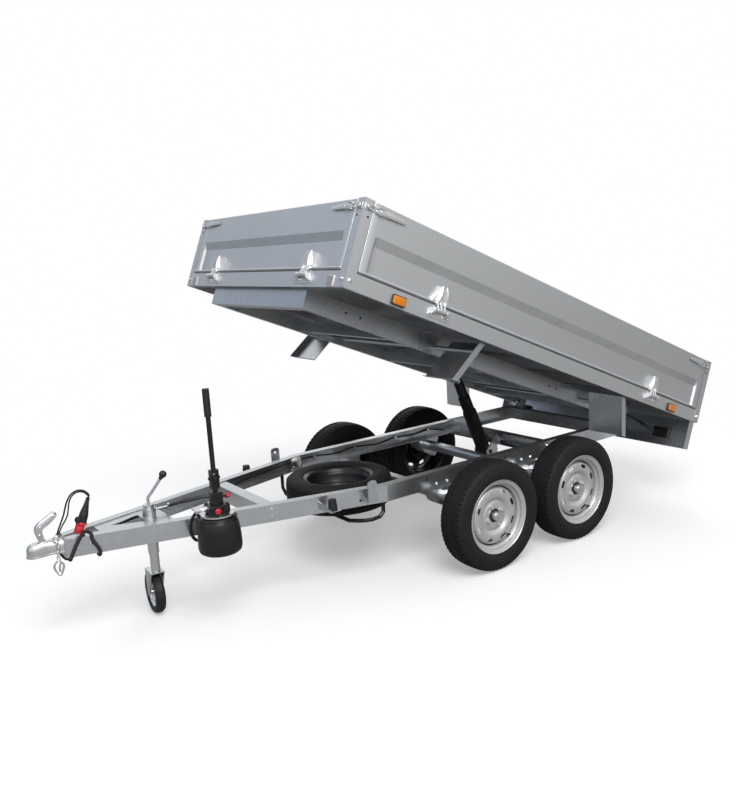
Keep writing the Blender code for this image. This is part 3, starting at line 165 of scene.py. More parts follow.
def lathe(profile, steps=64, closed=False, caps=True):
    """(radius, height) points turned about Z: x = r cos t, y = r sin t, z = height.  A closed
    profile is a loop and makes a ring; on an open one the two ends are filled."""
    profile = np.asarray(profile, float)
    t = ring(steps)
    points = [profile[:, :1] * np.cos(t), profile[:, :1] * np.sin(t), np.repeat(profile[:, 1:], steps, 1)]
    return skin(np.stack(points, -1), close_rows=closed, caps=caps and not closed)


def carried(path, section, closed=False, up=None):
    """A section of (side, up) points carried along a path.  The side direction is the
    tangent crossed with a fixed up direction, by default the one of 300 directions, spread
    evenly over a half sphere (golden angle steps), that no stretch of the path comes near."""
    path, section = np.asarray(path, float), np.asarray(section, float)
    if closed:
        tangent = unit(np.roll(path, -1, 0) - np.roll(path, 1, 0))
    else:
        tangent = unit(np.gradient(path, axis=0))
    if up is None:
        k = np.arange(300)
        z, turn = (k + 0.5) / 300, k * math.pi * (3 - math.sqrt(5))
        around = np.sqrt(1 - z ** 2)
        directions = np.stack([around * np.cos(turn), around * np.sin(turn), z], -1)
        up = directions[np.argmin(np.abs(directions @ tangent.T).max(1))]
    side = unit(np.cross(tangent, up))
    top = np.cross(side, tangent)
    if section.ndim == 2:
        section = np.repeat(section[None], len(path), 0)
    points = path[:, None] + section[..., :1] * side[:, None] + section[..., 1:] * top[:, None]
    return skin(points, close_rows=closed, caps=not closed)


def round_bar(path, radius, sides=12, closed=False, up=None):
    """A round bar: a circle, whose radius may change from point to point, carried along a path."""
    t = ring(sides)
    radius = np.broadcast_to(np.asarray(radius, float), (len(path),))[:, None]
    return carried(path, np.stack([radius * np.cos(t), radius * np.sin(t)], -1), closed, up)


def along(path):
    """Distance covered at each point of a path."""
    return np.concatenate([[0], np.cumsum(np.linalg.norm(np.diff(path, axis=0), axis=1))])


def flowing(route, count):
    """`count` points along a smooth curve through a route's points (each stretch a cubic
    whose slope at a point is half the step between its neighbours)."""
    route = np.asarray(route, float)
    ends = np.vstack([2 * route[:1] - route[1:2], route, 2 * route[-1:] - route[-2:-1]])
    dense = np.linspace(0, len(route) - 1, count * 8)
    i = np.minimum(dense.astype(int), len(route) - 2)
    t = (dense - i)[:, None]
    a, b, c, d = ends[i], ends[i + 1], ends[i + 2], ends[i + 3]
    path = 0.5 * (2 * b + (c - a) * t + (2 * a - 5 * b + 4 * c - d) * t ** 2
                  + (3 * b - a - 3 * c + d) * t ** 3)
    covered = along(path)
    even = np.linspace(0, covered[-1], count)
    return np.stack([np.interp(even, covered, path[:, k]) for k in range(3)], -1)


def pad(outline, low, high, round_by=0.001, axes=(0, 1, 2)):
    """A flat plate: an outline of two directions raised from low to high, its edges drawn in
    by `round_by` along the corners' own bisectors so that they catch the light."""
    outline = np.asarray(outline, float)
    low, high = sorted((low, high))
    before, after = np.roll(outline, 1, 0), np.roll(outline, -1, 0)
    normals = [unit(np.stack([e[:, 1], -e[:, 0]], -1)) for e in (outline - before, after - outline)]
    both = normals[0] + normals[1]
    area = np.sum(outline[:, 0] * after[:, 1] - after[:, 0] * outline[:, 1])
    out = both * np.sign(area)
    out /= np.maximum(0.35, np.sum(both ** 2, 1, keepdims=True) / 2)
    levels = ((low, round_by), (low + round_by, 0), (high - round_by, 0), (high, round_by))
    rows = [np.column_stack([outline - out * inset, np.full(len(outline), level)]) for level, inset in levels]
    points, faces = skin(rows, caps=True)
    return points[:, list(axes)], faces


def corner_round(outline, radius, steps=3):
    """An outline whose corners are cut by short arcs of about that radius (quadratic curves
    between points set back on both sides of each corner)."""
    outline = np.asarray(outline, float)
    d1, d2 = np.roll(outline, 1, 0) - outline, np.roll(outline, -1, 0) - outline
    l1, l2 = (np.linalg.norm(d, axis=1, keepdims=True) for d in (d1, d2))
    a = outline + d1 / l1 * np.minimum(radius, l1 * 0.45)
    b = outline + d2 / l2 * np.minimum(radius, l2 * 0.45)
    t = np.linspace(0, 1, steps + 1)[:, None, None]
    curve = (1 - t) ** 2 * a + 2 * t * (1 - t) * outline + t ** 2 * b
    return curve.transpose(1, 0, 2).reshape(-1, 2)


def oblong(a0, a1, b0, b1, radius, steps=3):
    """A rectangle's outline with its corners rounded."""
    return corner_round([(a0, b0), (a1, b0), (a1, b1), (a0, b1)], radius, steps)


def moved(shell, place=(0, 0, 0), z=(0, 0, 1)):
    """A shell turned so that its Z runs along `z`, then moved."""
    points, faces = shell
    z = unit(np.asarray(z, float))
    y = unit(np.cross(z, (1.0, 0, 0) if abs(z[0]) < 0.9 else (0, 1.0, 0)))
    x = np.cross(y, z)
    return points @ np.array([x, y, z]) + np.asarray(place, float), faces


def spread(shell, turn):
    """A shell with its points passed through a function of an (n, 3) array."""
    return turn(shell[0]), shell[1]


def bolt(size, places, directions, washer=True):
    """Hexagon heads, each on a washer, at places and facing directions; size is the thread's."""
    shapes = (((0.30, 0.66), (0.80, 0.66), (0.92, 0.54)), ((0.40, 0.92), (0.46, 0.86), (0.46, 0.5)),
              ((0.5, 0.16), (1.05, 0.16), (1.12, 0.08)))
    head, stub, disc = ([(size * r, size * h) for r, h in shape] for shape in shapes)
    head = lathe(head + [(size * 0.92, -0.001)], 6)
    stub = lathe(stub, 10)
    disc = lathe(disc + [(size * 1.12, -0.001)], 16)
    shells = []
    for place, way in zip(places, directions):
        lift = unit(np.asarray(way, float)) * (size * 0.14 if washer else 0)
        shells += [moved(shell, np.asarray(place) + lift, way) for shell in (head, stub)]
        if washer:
            shells.append(moved(disc, place, way))
    return shells


def hole(radius, place, way, lip=0.0003, proud=0.0004, sunk=0.0006):
    """A drilled hole, shown by a dark disc of painted shade just proud of the face it is in."""
    return moved(lathe([(0.0008, proud), (radius, proud), (radius + lip, -sunk)], 16), place, way)


def mesh_of(name, shells, join=2e-6):
    """Shells joined into one mesh, its doubles merged and its faces pointed outwards."""
    points, faces, start = [], [], 0
    for co, shell_faces in shells:
        points.append(co)
        faces += [[i + start for i in face] for face in shell_faces]
        start += len(co)
    mesh = bpy.data.meshes.new(name)
    mesh.from_pydata(np.vstack(points).tolist(), [], faces)
    bm = bmesh.new()
    bm.from_mesh(mesh)
    bmesh.ops.remove_doubles(bm, verts=bm.verts, dist=join)
    bmesh.ops.recalc_face_normals(bm, faces=bm.faces)
    bm.to_mesh(mesh)
    bm.free()
    return mesh


def in_scene(name, data):
    """A new object in the scene's own collection."""
    obj = bpy.data.objects.new(name, data)
    bpy.context.scene.collection.objects.link(obj)
    return obj


def piece(name, shells, finish, body, replaces=None, smooth=35, turn=None):
    """Shells as one object, passed through `turn`: its finish, its shading (sharp over `smooth`
    degrees), the body that it rides on and the solid that it stands for."""
    if turn:
        shells = [spread(shell, turn) for shell in shells]
    obj = in_scene(name, mesh_of(name, shells))
    obj.data.materials.append(FINISH[finish])
    obj.data.shade_smooth()
    obj.data.set_sharp_from_angle(angle=math.radians(smooth))
    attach(obj, body)
    if replaces:
        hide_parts(replaces)
    return obj


# Finishes
FINISH = {}
# the two outputs of each pattern's node group
TONE_AND_HEIGHT = (("Tone", "Float"), ("Height", "Float"))


def feed(tree, socket, value):
    """Link a node's input to a socket, or give it a value."""
    if isinstance(value, bpy.types.NodeSocket):
        tree.links.new(value, socket)
    else:
        socket.default_value = value


def wire(tree, kind, **inputs):
    """Add a node; keyword values feed its inputs or, where none has that name, set its properties."""
    node = tree.nodes.new("ShaderNode" + kind)
    for key, value in inputs.items():
        name = key.replace("_", " ")
        match = [s for s in node.inputs if s.name.lower() == name.lower() and s.enabled]
        if match:
            feed(tree, match[0], value)
        else:
            setattr(node, key, value)
    return node


def calc(tree, operation, a, b):
    """Two values put together by a Math node."""
    node = wire(tree, "Math", operation=operation)
    feed(tree, node.inputs[0], a)
    feed(tree, node.inputs[1], b)
    return node.outputs[0]


def weighted(tree, *terms):
    """The sum of values, each times its weight."""
    total, *rest = [calc(tree, "MULTIPLY", value, weight) for value, weight in terms]
    for term in rest:
        total = calc(tree, "ADD", total, term)
    return total


def ramp(tree, value, low, high, start=0.0, end=1.0, kind="LINEAR"):
    """A value that goes from low to high while another goes from start to end."""
    node = wire(tree, "MapRange", value=value, interpolation_type=kind)
    for name, limit in (("From Min", start), ("From Max", end), ("To Min", low), ("To Max", high)):
        node.inputs[name].default_value = limit
    return node.outputs[0]


def mix_colour(tree, factor, a, b):
    """A colour between two others."""
    node = wire(tree, "Mix", data_type="RGBA")
    for socket, value in ((0, factor), (6, a), (7, b)):
        feed(tree, node.inputs[socket], value)
    return node.outputs[2]


def noise(tree, place, scale, detail, roughness=0.5):
    """A noise texture's value."""
    return wire(tree, "TexNoise", vector=place, scale=scale, detail=detail, roughness=roughness).outputs[0]


def contrast(tree, tone, depth, middle=0.85):
    """A tone drawn out about its middle, which comes to 0.5."""
    steep = calc(tree, "MULTIPLY", depth, 2.0)
    return calc(tree, "ADD", calc(tree, "MULTIPLY", calc(tree, "SUBTRACT", tone, middle), steep), 0.5)


def group(name, inputs, outputs):
    """A shader node group with named inputs and outputs, its two ends' sockets and its places."""
    tree = bpy.data.node_groups.new(name, "ShaderNodeTree")
    for label, kind, value in inputs:
        socket = tree.interface.new_socket(label, in_out="INPUT", socket_type="NodeSocket" + kind)
        socket.default_value = value
    for label, kind in outputs:
        tree.interface.new_socket(label, in_out="OUTPUT", socket_type="NodeSocket" + kind)
    ends = tree.nodes.new("NodeGroupInput").outputs, tree.nodes.new("NodeGroupOutput").inputs
    return tree, *ends, wire(tree, "TexCoord").outputs


def zinc_bloom():
    """Zinc crystals of uneven tone under long soft clouds."""
    inputs = (("Cell", "Float", 90.0), ("Depth", "Float", 0.35), ("Streak", "Float", 6.0))
    tree, given, made, places = group("zinc_bloom", inputs, TONE_AND_HEIGHT)
    place = places["Object"]
    warp = wire(tree, "TexNoise", vector=place, scale=14.0, detail=2.0)
    bent = wire(tree, "VectorMath", operation="MULTIPLY_ADD")
    for socket, value in enumerate((warp.outputs["Color"], (0.02, 0.02, 0.02), place)):
        feed(tree, bent.inputs[socket], value)
    cells = wire(tree, "TexVoronoi", vector=bent.outputs[0], scale=given["Cell"])
    cell = wire(tree, "SeparateColor", color=cells.outputs["Color"]).outputs[0]
    cloud = noise(tree, place, given["Streak"], 5.0, 0.62)
    fine = noise(tree, place, 55.0, 3.0)
    tone = weighted(tree, (cell, 0.35), (cloud, 1.0), (fine, 0.35))
    feed(tree, made["Tone"], contrast(tree, tone, given["Depth"]))
    feed(tree, made["Height"], weighted(tree, (cell, 0.3), (fine, 1.0)))
    return tree


def rolled_sheet():
    """Fine lines along a rolled sheet, soft clouds and specks."""
    tree, given, made, places = group("rolled_sheet", (("Depth", "Float", 0.3),), TONE_AND_HEIGHT)
    place = places["Object"]
    turned = wire(tree, "Mapping", vector=place, rotation=(0.0, -TILT, 0.0), scale=(1.2, 1.2, 60.0))
    lines = noise(tree, turned.outputs[0], 2.0, 6.0, 0.6)
    cloud = noise(tree, place, 1.6, 3.0)
    speck = noise(tree, place, 160.0, 2.0)
    tone = weighted(tree, (lines, 0.5), (cloud, 0.9), (speck, 0.3))
    feed(tree, made["Tone"], contrast(tree, tone, given["Depth"]))
    feed(tree, made["Height"], weighted(tree, (lines, 0.5), (cloud, 2.0)))
    return tree


def fine_grain():
    """Fine grain with broad soft blotches."""
    inputs = (("Scale", "Float", 400.0), ("Blotch", "Float", 12.0))
    tree, given, made, places = group("fine_grain", inputs, TONE_AND_HEIGHT)
    grain = noise(tree, places["Object"], given["Scale"], 2.0)
    blotch = noise(tree, places["Object"], given["Blotch"], 4.0)
    feed(tree, made["Tone"], weighted(tree, (grain, 0.4), (blotch, 0.6)))
    feed(tree, made["Height"], grain)
    return tree


def low_shade_and_grime():
    """Painted shade with some grime: a darker, duller colour, in clouds, on faces that look down."""
    grey = (0.5, 0.5, 0.5, 1)
    inputs = (("Colour", "Color", grey), ("Under", "Float", 0.5), ("Base", "Color", grey))
    tree, given, made, places = group("low_shade_and_grime", inputs, (("Colour", "Color"), ("Mask", "Float")))
    facing = wire(tree, "SeparateXYZ", vector=places["Normal"]).outputs[2]
    down = calc(tree, "MAXIMUM", calc(tree, "MULTIPLY", facing, -1.0), 0.0)
    cloud = calc(tree, "ADD", noise(tree, places["Object"], 9.0, 4.0), 0.45)
    mask = calc(tree, "MULTIPLY", calc(tree, "MULTIPLY", down, given["Under"]), cloud)
    mask = calc(tree, "MINIMUM", mask, 1.0)
    feed(tree, made["Colour"], mix_colour(tree, mask, given["Base"], given["Colour"]))
    feed(tree, made["Mask"], mask)
    return tree


def make_finish(name, effect, dark, light, rough, metallic, bump, distance, shade_and_grime=None, **more):
    """One material: an effect's tone leads from a dark to a light colour and from one
    roughness to another, its height feeds a bump, and faces that look down may be darkened by
    painted shade with some grime.  Where a mesh marks its faces as inside, they are painted
    nearly black as shade."""
    material = bpy.data.materials.new(name)
    material.use_nodes = True
    tree = material.node_tree
    shader = tree.nodes["Principled BSDF"].inputs
    pattern = wire(tree, "Group", node_tree=effect)
    for key, value in more.items():
        sockets = pattern.inputs if key in pattern.inputs else shader
        sockets[key.replace("_", " ")].default_value = value
    tone = pattern.outputs["Tone"]
    colour = mix_colour(tree, tone, (*dark, 1), (*light, 1))
    metal = metallic
    # painted shade with some grime: faces that look down are darkened and made less metallic
    if shade_and_grime:
        group_tree, shade_colour, under = shade_and_grime
        low = wire(tree, "Group", node_tree=group_tree)
        for key, value in (("Colour", (*shade_colour, 1)), ("Under", under), ("Base", colour)):
            feed(tree, low.inputs[key], value)
        colour = low.outputs["Colour"]
        metal = ramp(tree, low.outputs["Mask"], metallic, metallic * 0.35)
    # painted shade: faces marked as inside, behind a wheel's disc, are made nearly black
    if name == "silver":
        inside = wire(tree, "Attribute", attribute_name="inside").outputs["Fac"]
        colour = mix_colour(tree, inside, colour, (0.012, 0.012, 0.013, 1))
    relief = wire(tree, "Bump", strength=bump, distance=distance, height=pattern.outputs["Height"])
    for key, value in (("Base Color", colour), ("Metallic", metal), ("Roughness", ramp(tree, tone, *rough)),
                       ("Normal", relief.outputs[0])):
        feed(tree, shader[key], value)
    FINISH[name] = material


# finish, its dark and light colour, roughness from dark to light, bump, its depth, the grain's
# scale and other values
GRAINED = (
    ("black_paint", (0.004, 0.004, 0.0045), (0.012, 0.012, 0.013), (0.26, 0.38), 0.08, 0.0003, 300.0,
     {"Specular_IOR_Level": 0.32}),
    ("tyre", (0.005, 0.005, 0.0055), (0.014, 0.014, 0.0145), (0.60, 0.78), 0.15, 0.0004, 520.0,
     {"Blotch": 22.0, "Specular_IOR_Level": 0.20}),
    ("rubber", (0.007, 0.007, 0.008), (0.018, 0.018, 0.020), (0.46, 0.62), 0.12, 0.0003, 420.0,
     {"Specular_IOR_Level": 0.28}),
    ("plastic", (0.006, 0.006, 0.007), (0.016, 0.016, 0.018), (0.30, 0.46), 0.10, 0.0002, 600.0,
     {"Specular_IOR_Level": 0.35}),
    ("white_plastic", (0.58, 0.57, 0.57), (0.72, 0.71, 0.71), (0.30, 0.42), 0.05, 0.0002, 600.0, {}),
    ("red_plastic", (0.36, 0.006, 0.020), (0.52, 0.012, 0.034), (0.28, 0.40), 0.06, 0.0002, 600.0, {}),
    ("amber", (0.42, 0.110, 0.003), (0.66, 0.21, 0.008), (0.12, 0.22), 0.05, 0.0002, 200.0,
     {"Coat_Weight": 0.4}),
    ("red_lens", (0.26, 0.004, 0.006), (0.42, 0.008, 0.010), (0.12, 0.22), 0.05, 0.0002, 200.0,
     {"Coat_Weight": 0.4}),
    ("white_lens", (0.16, 0.15, 0.15), (0.30, 0.285, 0.28), (0.12, 0.24), 0.05, 0.0002, 200.0,
     {"Coat_Weight": 0.4}),
)


def make_finishes(steel):
    """All finishes: the metals, then what has only fine grain."""
    bloom, sheet, grain, shade_and_grime = zinc_bloom(), rolled_sheet(), fine_grain(), low_shade_and_grime()
    frame_light, sheet_light = tuple(steel.frame_colour), tuple(steel.sheet_colour)
    # frame and sheets: painted shade with some grime on faces that look down
    make_finish("galvanized", bloom, [c * 0.72 for c in frame_light], frame_light, (0.34, 0.24), 0.95, 0.05,
                0.0006,
                shade_and_grime=(shade_and_grime, (0.10, 0.105, 0.11), 0.85), Cell=steel.cell, Depth=0.36, Streak=7.0)
    make_finish("sheet", sheet, [c * 0.86 for c in sheet_light], sheet_light, (0.44, 0.34), 0.82, 0.10,
                0.0008,
                shade_and_grime=(shade_and_grime, (0.07, 0.075, 0.08), 1.0), Depth=0.35)
    make_finish("zinc", bloom, (0.44, 0.445, 0.45), (0.78, 0.785, 0.79), (0.30, 0.18), 0.95, 0.06, 0.0002,
                Cell=220.0, Depth=0.18, Streak=14.0)
    make_finish("casting", bloom, (0.44, 0.445, 0.45), (0.70, 0.705, 0.71), (0.42, 0.28), 0.80, 0.08, 0.0002,
                Cell=220.0, Depth=0.20, Streak=14.0)
    make_finish("silver", grain, (0.40, 0.396, 0.39), (0.51, 0.506, 0.50), (0.40, 0.30), 0.50, 0.04, 0.0002,
                Scale=900.0, Coat_Weight=0.2)
    make_finish("chrome", grain, (0.30, 0.30, 0.31), (0.42, 0.42, 0.43), (0.14, 0.20), 1.0, 0.02, 0.0001,
                Scale=500.0)
    for name, dark, light, rough, bump, depth, scale, more in GRAINED:
        metallic = 0.1 if name == "white_lens" else 0.0
        make_finish(name, grain, dark, light, rough, metallic, bump, depth, Scale=scale, **more)


CAD_FINISHES = (
    # finish, then the solids that keep their own shape
    ("galvanized", ("rail_left", "rail_right", "drawbar_plate", "front_crossmember", "middle_crossmember",
                    "rear_crossmember", "axle_front", "axle_rear", "bed_subframe", "mudflaps_front",
                    "mudflaps_rear", "light_board")),
    ("sheet", ("bed_floor",)),
    ("zinc", ("jockey_crank", "jockey_fork", "jockey_rim", "pump_bracket", "jockey_tube", "jockey_leg")),
    ("black_paint", ("pump_lever", "cylinder_barrel", "cylinder_stage_2", "cylinder_stage_3",
                     "spare_carrier")),
    ("chrome", ("cylinder_rod",)),
    ("rubber", ("rubber_stop_left", "rubber_stop_right", "pump_hose", "jockey_tyre")),
    ("amber", ("marker_front_left", "marker_front_right", "marker_rear_left", "marker_rear_right")),
    ("white_lens", ("reflector_left", "reflector_right")),
)


def finish_solids():
    """Give each solid that stays its finish."""
    for finish, names in CAD_FINISHES:
        for name in names:
            materials = frame["nodes"][name].data.materials
            materials.clear()
            materials.append(FINISH[finish])


# Settings
def distance(name, description, low, high, default):
    """A length that a user may change."""
    return FloatProperty(name=name, description=description, subtype="DISTANCE", min=low, max=high,
                         default=default)


def tint(name, description, default):
    """A colour that a user may change."""
    return FloatVectorProperty(name=name, description=description, subtype="COLOR", size=3, min=0, max=1,
                               default=default)


def power(name, description, default):
    """A lamp's power that a user may change."""
    return FloatProperty(name=name, description=description, subtype="POWER", min=0, max=5000,
                         default=default)


class SteelSettings(PropertyGroup):
    """Colours and grain of the galvanized steel."""
    frame_colour: tint("Frame colour", "Lightest tone of the galvanized frame", (0.62, 0.635, 0.65))
    sheet_colour: tint("Sheet colour", "Lightest tone of the boards and floor", (0.56, 0.57, 0.58))
    cell: FloatProperty(name="Bloom scale", description="Zinc crystals per metre", min=10, max=400,
                        default=85.0)


class StageSettings(PropertyGroup):
    """Floor, light and camera."""
    floor_colour: tint("Floor colour", "Colour of the pale floor", (0.80, 0.80, 0.80))
    sky: FloatProperty(name="Sky", description="Strength of the light from all round", min=0, max=3,
                       default=0.62)
    key: power("Key lamp", "Power of the large lamp above the left side", 420.0)
    fill: power("Fill lamp", "Power of the lamp above the rear right", 140.0)
    lens: FloatProperty(name="Lens", description="Focal length of the camera on a 36 mm wide frame",
                        subtype="DISTANCE_CAMERA", min=10, max=200, default=39.143)


class CableSettings(PropertyGroup):
    """Lead to the towing car."""
    strand: distance("Strand", "Diameter of the first strand", 0.003, 0.013, 0.0072)
    rib: distance("Rib pitch", "Distance between the sleeve's ribs", 0.002, 0.01, 0.0046)


class TyreSettings(PropertyGroup):
    """Tread of the road tyres."""
    around: IntProperty(name="Blocks round", description="Shoulder blocks round the tread", min=20, max=120,
                        default=66)
    groove: distance("Groove depth", "Depth of the tread's grooves", 0.001, 0.01, 0.0065)


class RimSettings(PropertyGroup):
    """Pressed steel wheels."""
    slots: IntProperty(name="Slots", description="Openings round the disc", min=4, max=16, default=8)
    slot_circle: distance("Slot circle", "Radius on which the slots lie", 0.08, 0.14, 0.121)


class BoardSettings(PropertyGroup):
    """Drop sides of the bed with their hinges and latches."""
    fold_depth: distance("Fold depth", "How far the lower part of a board is set back", 0.0, 0.02, 0.014)
    latch_length: distance("Latch length", "Length of a latch's lever", 0.05, 0.2, 0.151)


# Pieces
def cable_route():
    """The lead's way as in the solids: out between the rails, once round the drawbar and up to the plug."""
    out = CABLE_R + 0.001
    low_z = RAIL_TOP - RAIL_H - out

    def corner(x, side, level):
        """Three places round a rail's edge, its upper one (level 1) or its lower one (level -1)."""
        e = rail_edge(x)
        z = RAIL_TOP if level > 0 else RAIL_TOP - RAIL_H
        return [(x, side * (e - 0.014), z + level * (out + 0.0015)),
                (x, side * (e + out * 0.75), z + level * out * 0.75),
                (x, side * (e + out + 0.0015), z - level * 0.014)]

    far = rail_edge(RAIL_FRONT) + out + 0.004
    way = unit(PLUG_LOW - PLUG_TOP)
    route = [(-2.006, 0.0, low_z - 0.006), *corner(-2.024, -1, -1)]
    route += [(x - 0.010, y, z) for x, y, z in reversed(corner(-2.038, -1, 1))]
    route += [(-2.068, 0.004 - rail_edge(-2.068), RAIL_TOP + out + 0.014),
              (-2.092, -rail_edge(-2.092) - out - 0.004, 0.482),
              (-2.116, -rail_edge(-2.116) - out - 0.002, 0.440)]
    route += corner(-2.136, -1, -1)[1::-1] + [(-2.142, 0.0, low_z - 0.008), *corner(-2.146, 1, -1)]
    route += [(-2.150, far, 0.462), (-2.142, far, 0.490), (-2.132, 0.050, 0.520), (-2.119, 0.034, 0.560),
              (-2.104, 0.022, 0.612), (-2.087, 0.006, 0.647), (-2.064, -0.012, 0.664),
              (-2.040, -0.027, 0.661),
              PLUG_TOP - way * 0.012, PLUG_TOP]
    return np.array(route, float), way


def make_plug(way):
    """Plug along `way`: ribbed boot with its collar, body with an open face, hinged lid, pins,
    and a pale label round part of the body, left blank, with a moulded dot."""
    place = chassis(PLUG_TOP)
    s = np.linspace(0, 0.100, 41)
    ribs = 0.0007 * np.sin(2 * math.pi * s / 0.0075) * (s > 0.010) * (s < 0.080)
    boot = lathe([*zip(0.0080 + 0.0108 * step(s, 0.004, 0.085) + ribs, s),
                  (0.0192, 0.101), (0.0194, 0.104), (0.0194, 0.109), (0.0150, 0.110)], 32)
    lid = lathe([(0.0010, 0.0120), (0.0105, 0.0118), (0.0138, 0.0098), (0.0146, 0.0060), (0.0146, -0.0040),
                 (0.0090, -0.0070)], 32)
    lid_at = chassis(PLUG_TOP + way * 0.088 + [-0.0185, -0.005, -0.002])
    black = [moved(boot, place, way), moved(lid, lid_at, (-0.80, -0.55, 0.25))]
    pieces = [piece("plug_boot", black, "rubber", "chassis", replaces="plug", smooth=40)]

    body = lathe([(0.0150, 0.104), (0.0210, 0.105), (0.0222, 0.107), (0.0222, 0.120), (0.0213, 0.1215),
                  (0.0213, 0.1240), (0.0222, 0.1255), (0.0222, 0.1505), (0.0215, 0.1518), (0.0186, 0.1518),
                  (0.0180, 0.1505), (0.0180, 0.1330), (0.0020, 0.1325)], 40)
    pin, pin_faces = lathe([(0.0006, 0.1480), (0.0016, 0.1472), (0.0020, 0.1455), (0.0020, 0.1320)], 10)
    pins = [(pin + (0.0098 * math.cos(t), 0.0098 * math.sin(t), 0), pin_faces) for t in ring(6)]
    a = np.radians(np.linspace(2, 66, 14))[:, None]
    r, h = np.array([(0.0220, 0.1120), (0.0228, 0.1120), (0.0228, 0.1470), (0.0220, 0.1470)]).T
    label = skin(np.stack([r * np.cos(a), r * np.sin(a), h + 0 * a], -1), caps=True)
    middle = math.radians(38)
    dot = lathe([(0.0006, 0.0238), (0.0040, 0.0236), (0.0048, 0.0226), (0.0048, 0.0215)], 20)
    dot = moved(dot, (0, 0, 0.1300), (math.cos(middle), math.sin(middle), 0))
    for name, shells, finish in (("body", [body], "red_plastic"), ("pins", pins + [(pin, pin_faces)], "zinc"),
                                 ("label", [label], "white_plastic"), ("dot", [dot], "red_plastic")):
        pieces.append(piece("plug_" + name, [moved(shell, place, way) for shell in shells], finish,
                            "chassis"))
    return pieces


def make_cable(settings):
    """The lead to the towing car: two strands that share a ribbed sleeve where they are wound
    round the drawbar, with the plug parked on the left rail."""
    route, way = cable_route()
    path = flowing(route, 260)
    bare_from = int(np.argmax((path[:, 2] > 0.478) & (path[:, 0] < -2.13) & (path[:, 1] > 0.04)))

    # second strand: beside the first and inside its loop, furthest from it on the way up
    loop = path[bare_from - 4:]
    t = np.linspace(0, 1, len(loop))
    inward = np.cross(unit(np.gradient(loop, axis=0)), np.linalg.svd(loop - loop.mean(0))[2][-1])
    inward *= np.sign(np.sum(inward * (loop.mean(0) - loop), 1).mean())
    offset = settings.strand * (0.98 + 1.2 * np.exp(-((t - 0.36) / 0.17) ** 2))
    offset *= step(t, -0.01, 0.06) * (1 - 0.5 * step(t, 0.9, 1.0))
    second_path = flowing((loop + inward * offset[:, None])[::4], 120)

    # ribbed sleeve: the radius rises and falls every few millimetres
    wound = flowing(path[:bare_from + 1:3], 560)
    ribs = 0.0071 + 0.0009 * np.sin(2 * math.pi * along(wound) / settings.rib)
    lead, second, sleeve = (
        piece(name, [round_bar(line, radius, sides)], "rubber", "chassis", replaces, 60, chassis)
        for name, line, radius, sides, replaces in (
            ("lead", path, settings.strand / 2, 14, "cable"),
            ("second_strand", second_path, settings.strand * 0.42, 12, None),
            ("ribbed_sleeve", wound, ribs, 12, None)))
    ends = [sleeve] + make_plug(way)


def make_fixed_lead():
    """Fixed lead inside the right rail, sagging between its clips, to the rear cross member."""
    y = RAIL_OUT_Y - 0.0125
    slanting = [(x, rail_edge(x) - gap, z) for x, gap, z in ((-1.860, 0.016, 0.436), (-1.600, 0.015, 0.438),
                                                             (-1.350, 0.030, 0.416), (-1.200, 0.020, 0.436))]
    straight = [(x, y, z) for x, z in ((-0.800, 0.440), (-0.640, 0.446), (-0.500, 0.432), (-0.365, 0.445),
                                       (-0.200, 0.431), (-0.060, 0.444), (0.080, 0.436), (0.200, 0.446))]
    path = flowing([(-2.0058, 0.0, 0.3866), (-1.985, 0.004, 0.392), (-1.962, 0.002, 0.412),
                    (-1.940, 0.024, 0.428),
                    (-1.905, 0.070, 0.434), *slanting[:3], (-1.320, 0.232, 0.398), (-1.270, 0.250, 0.402),
                    slanting[3], *straight, (0.290, y - 0.010, 0.430), (0.322, y - 0.012, 0.424)], 220)
    piece("fixed_lead", [round_bar(path, 0.0036, 10)], "rubber", "chassis", smooth=60, turn=chassis)
    clips = [pad(oblong(x - 0.008, x + 0.008, 0.4350, 0.4550, 0.002), y - 0.0050, y + 0.0055,
                 axes=FACING_SIDEWAYS)
             for x in (-0.640, -0.365, -0.060, 0.200)]
    piece("lead_clips", clips, "zinc", "chassis", turn=chassis)


def link(centre, long_way, flat_way, length, width, thick):
    """One chain link: wire round an oval, x = w/2 sgn(cos t)|cos t|^0.8, y = l/2 sin t."""
    t = ring(28)
    c, s = np.cos(t)[:, None], np.sin(t)[:, None]
    long_way = unit(np.asarray(long_way, float))
    flat_way = unit(np.cross(long_way, np.asarray(flat_way, float)))
    path = (width - thick) / 2 * np.sign(c) * np.abs(c) ** 0.8 * flat_way + (length - thick) / 2 * s * long_way
    return round_bar(np.asarray(centre, float) + path, thick / 2, 10, closed=True,
                     up=np.cross(flat_way, long_way))


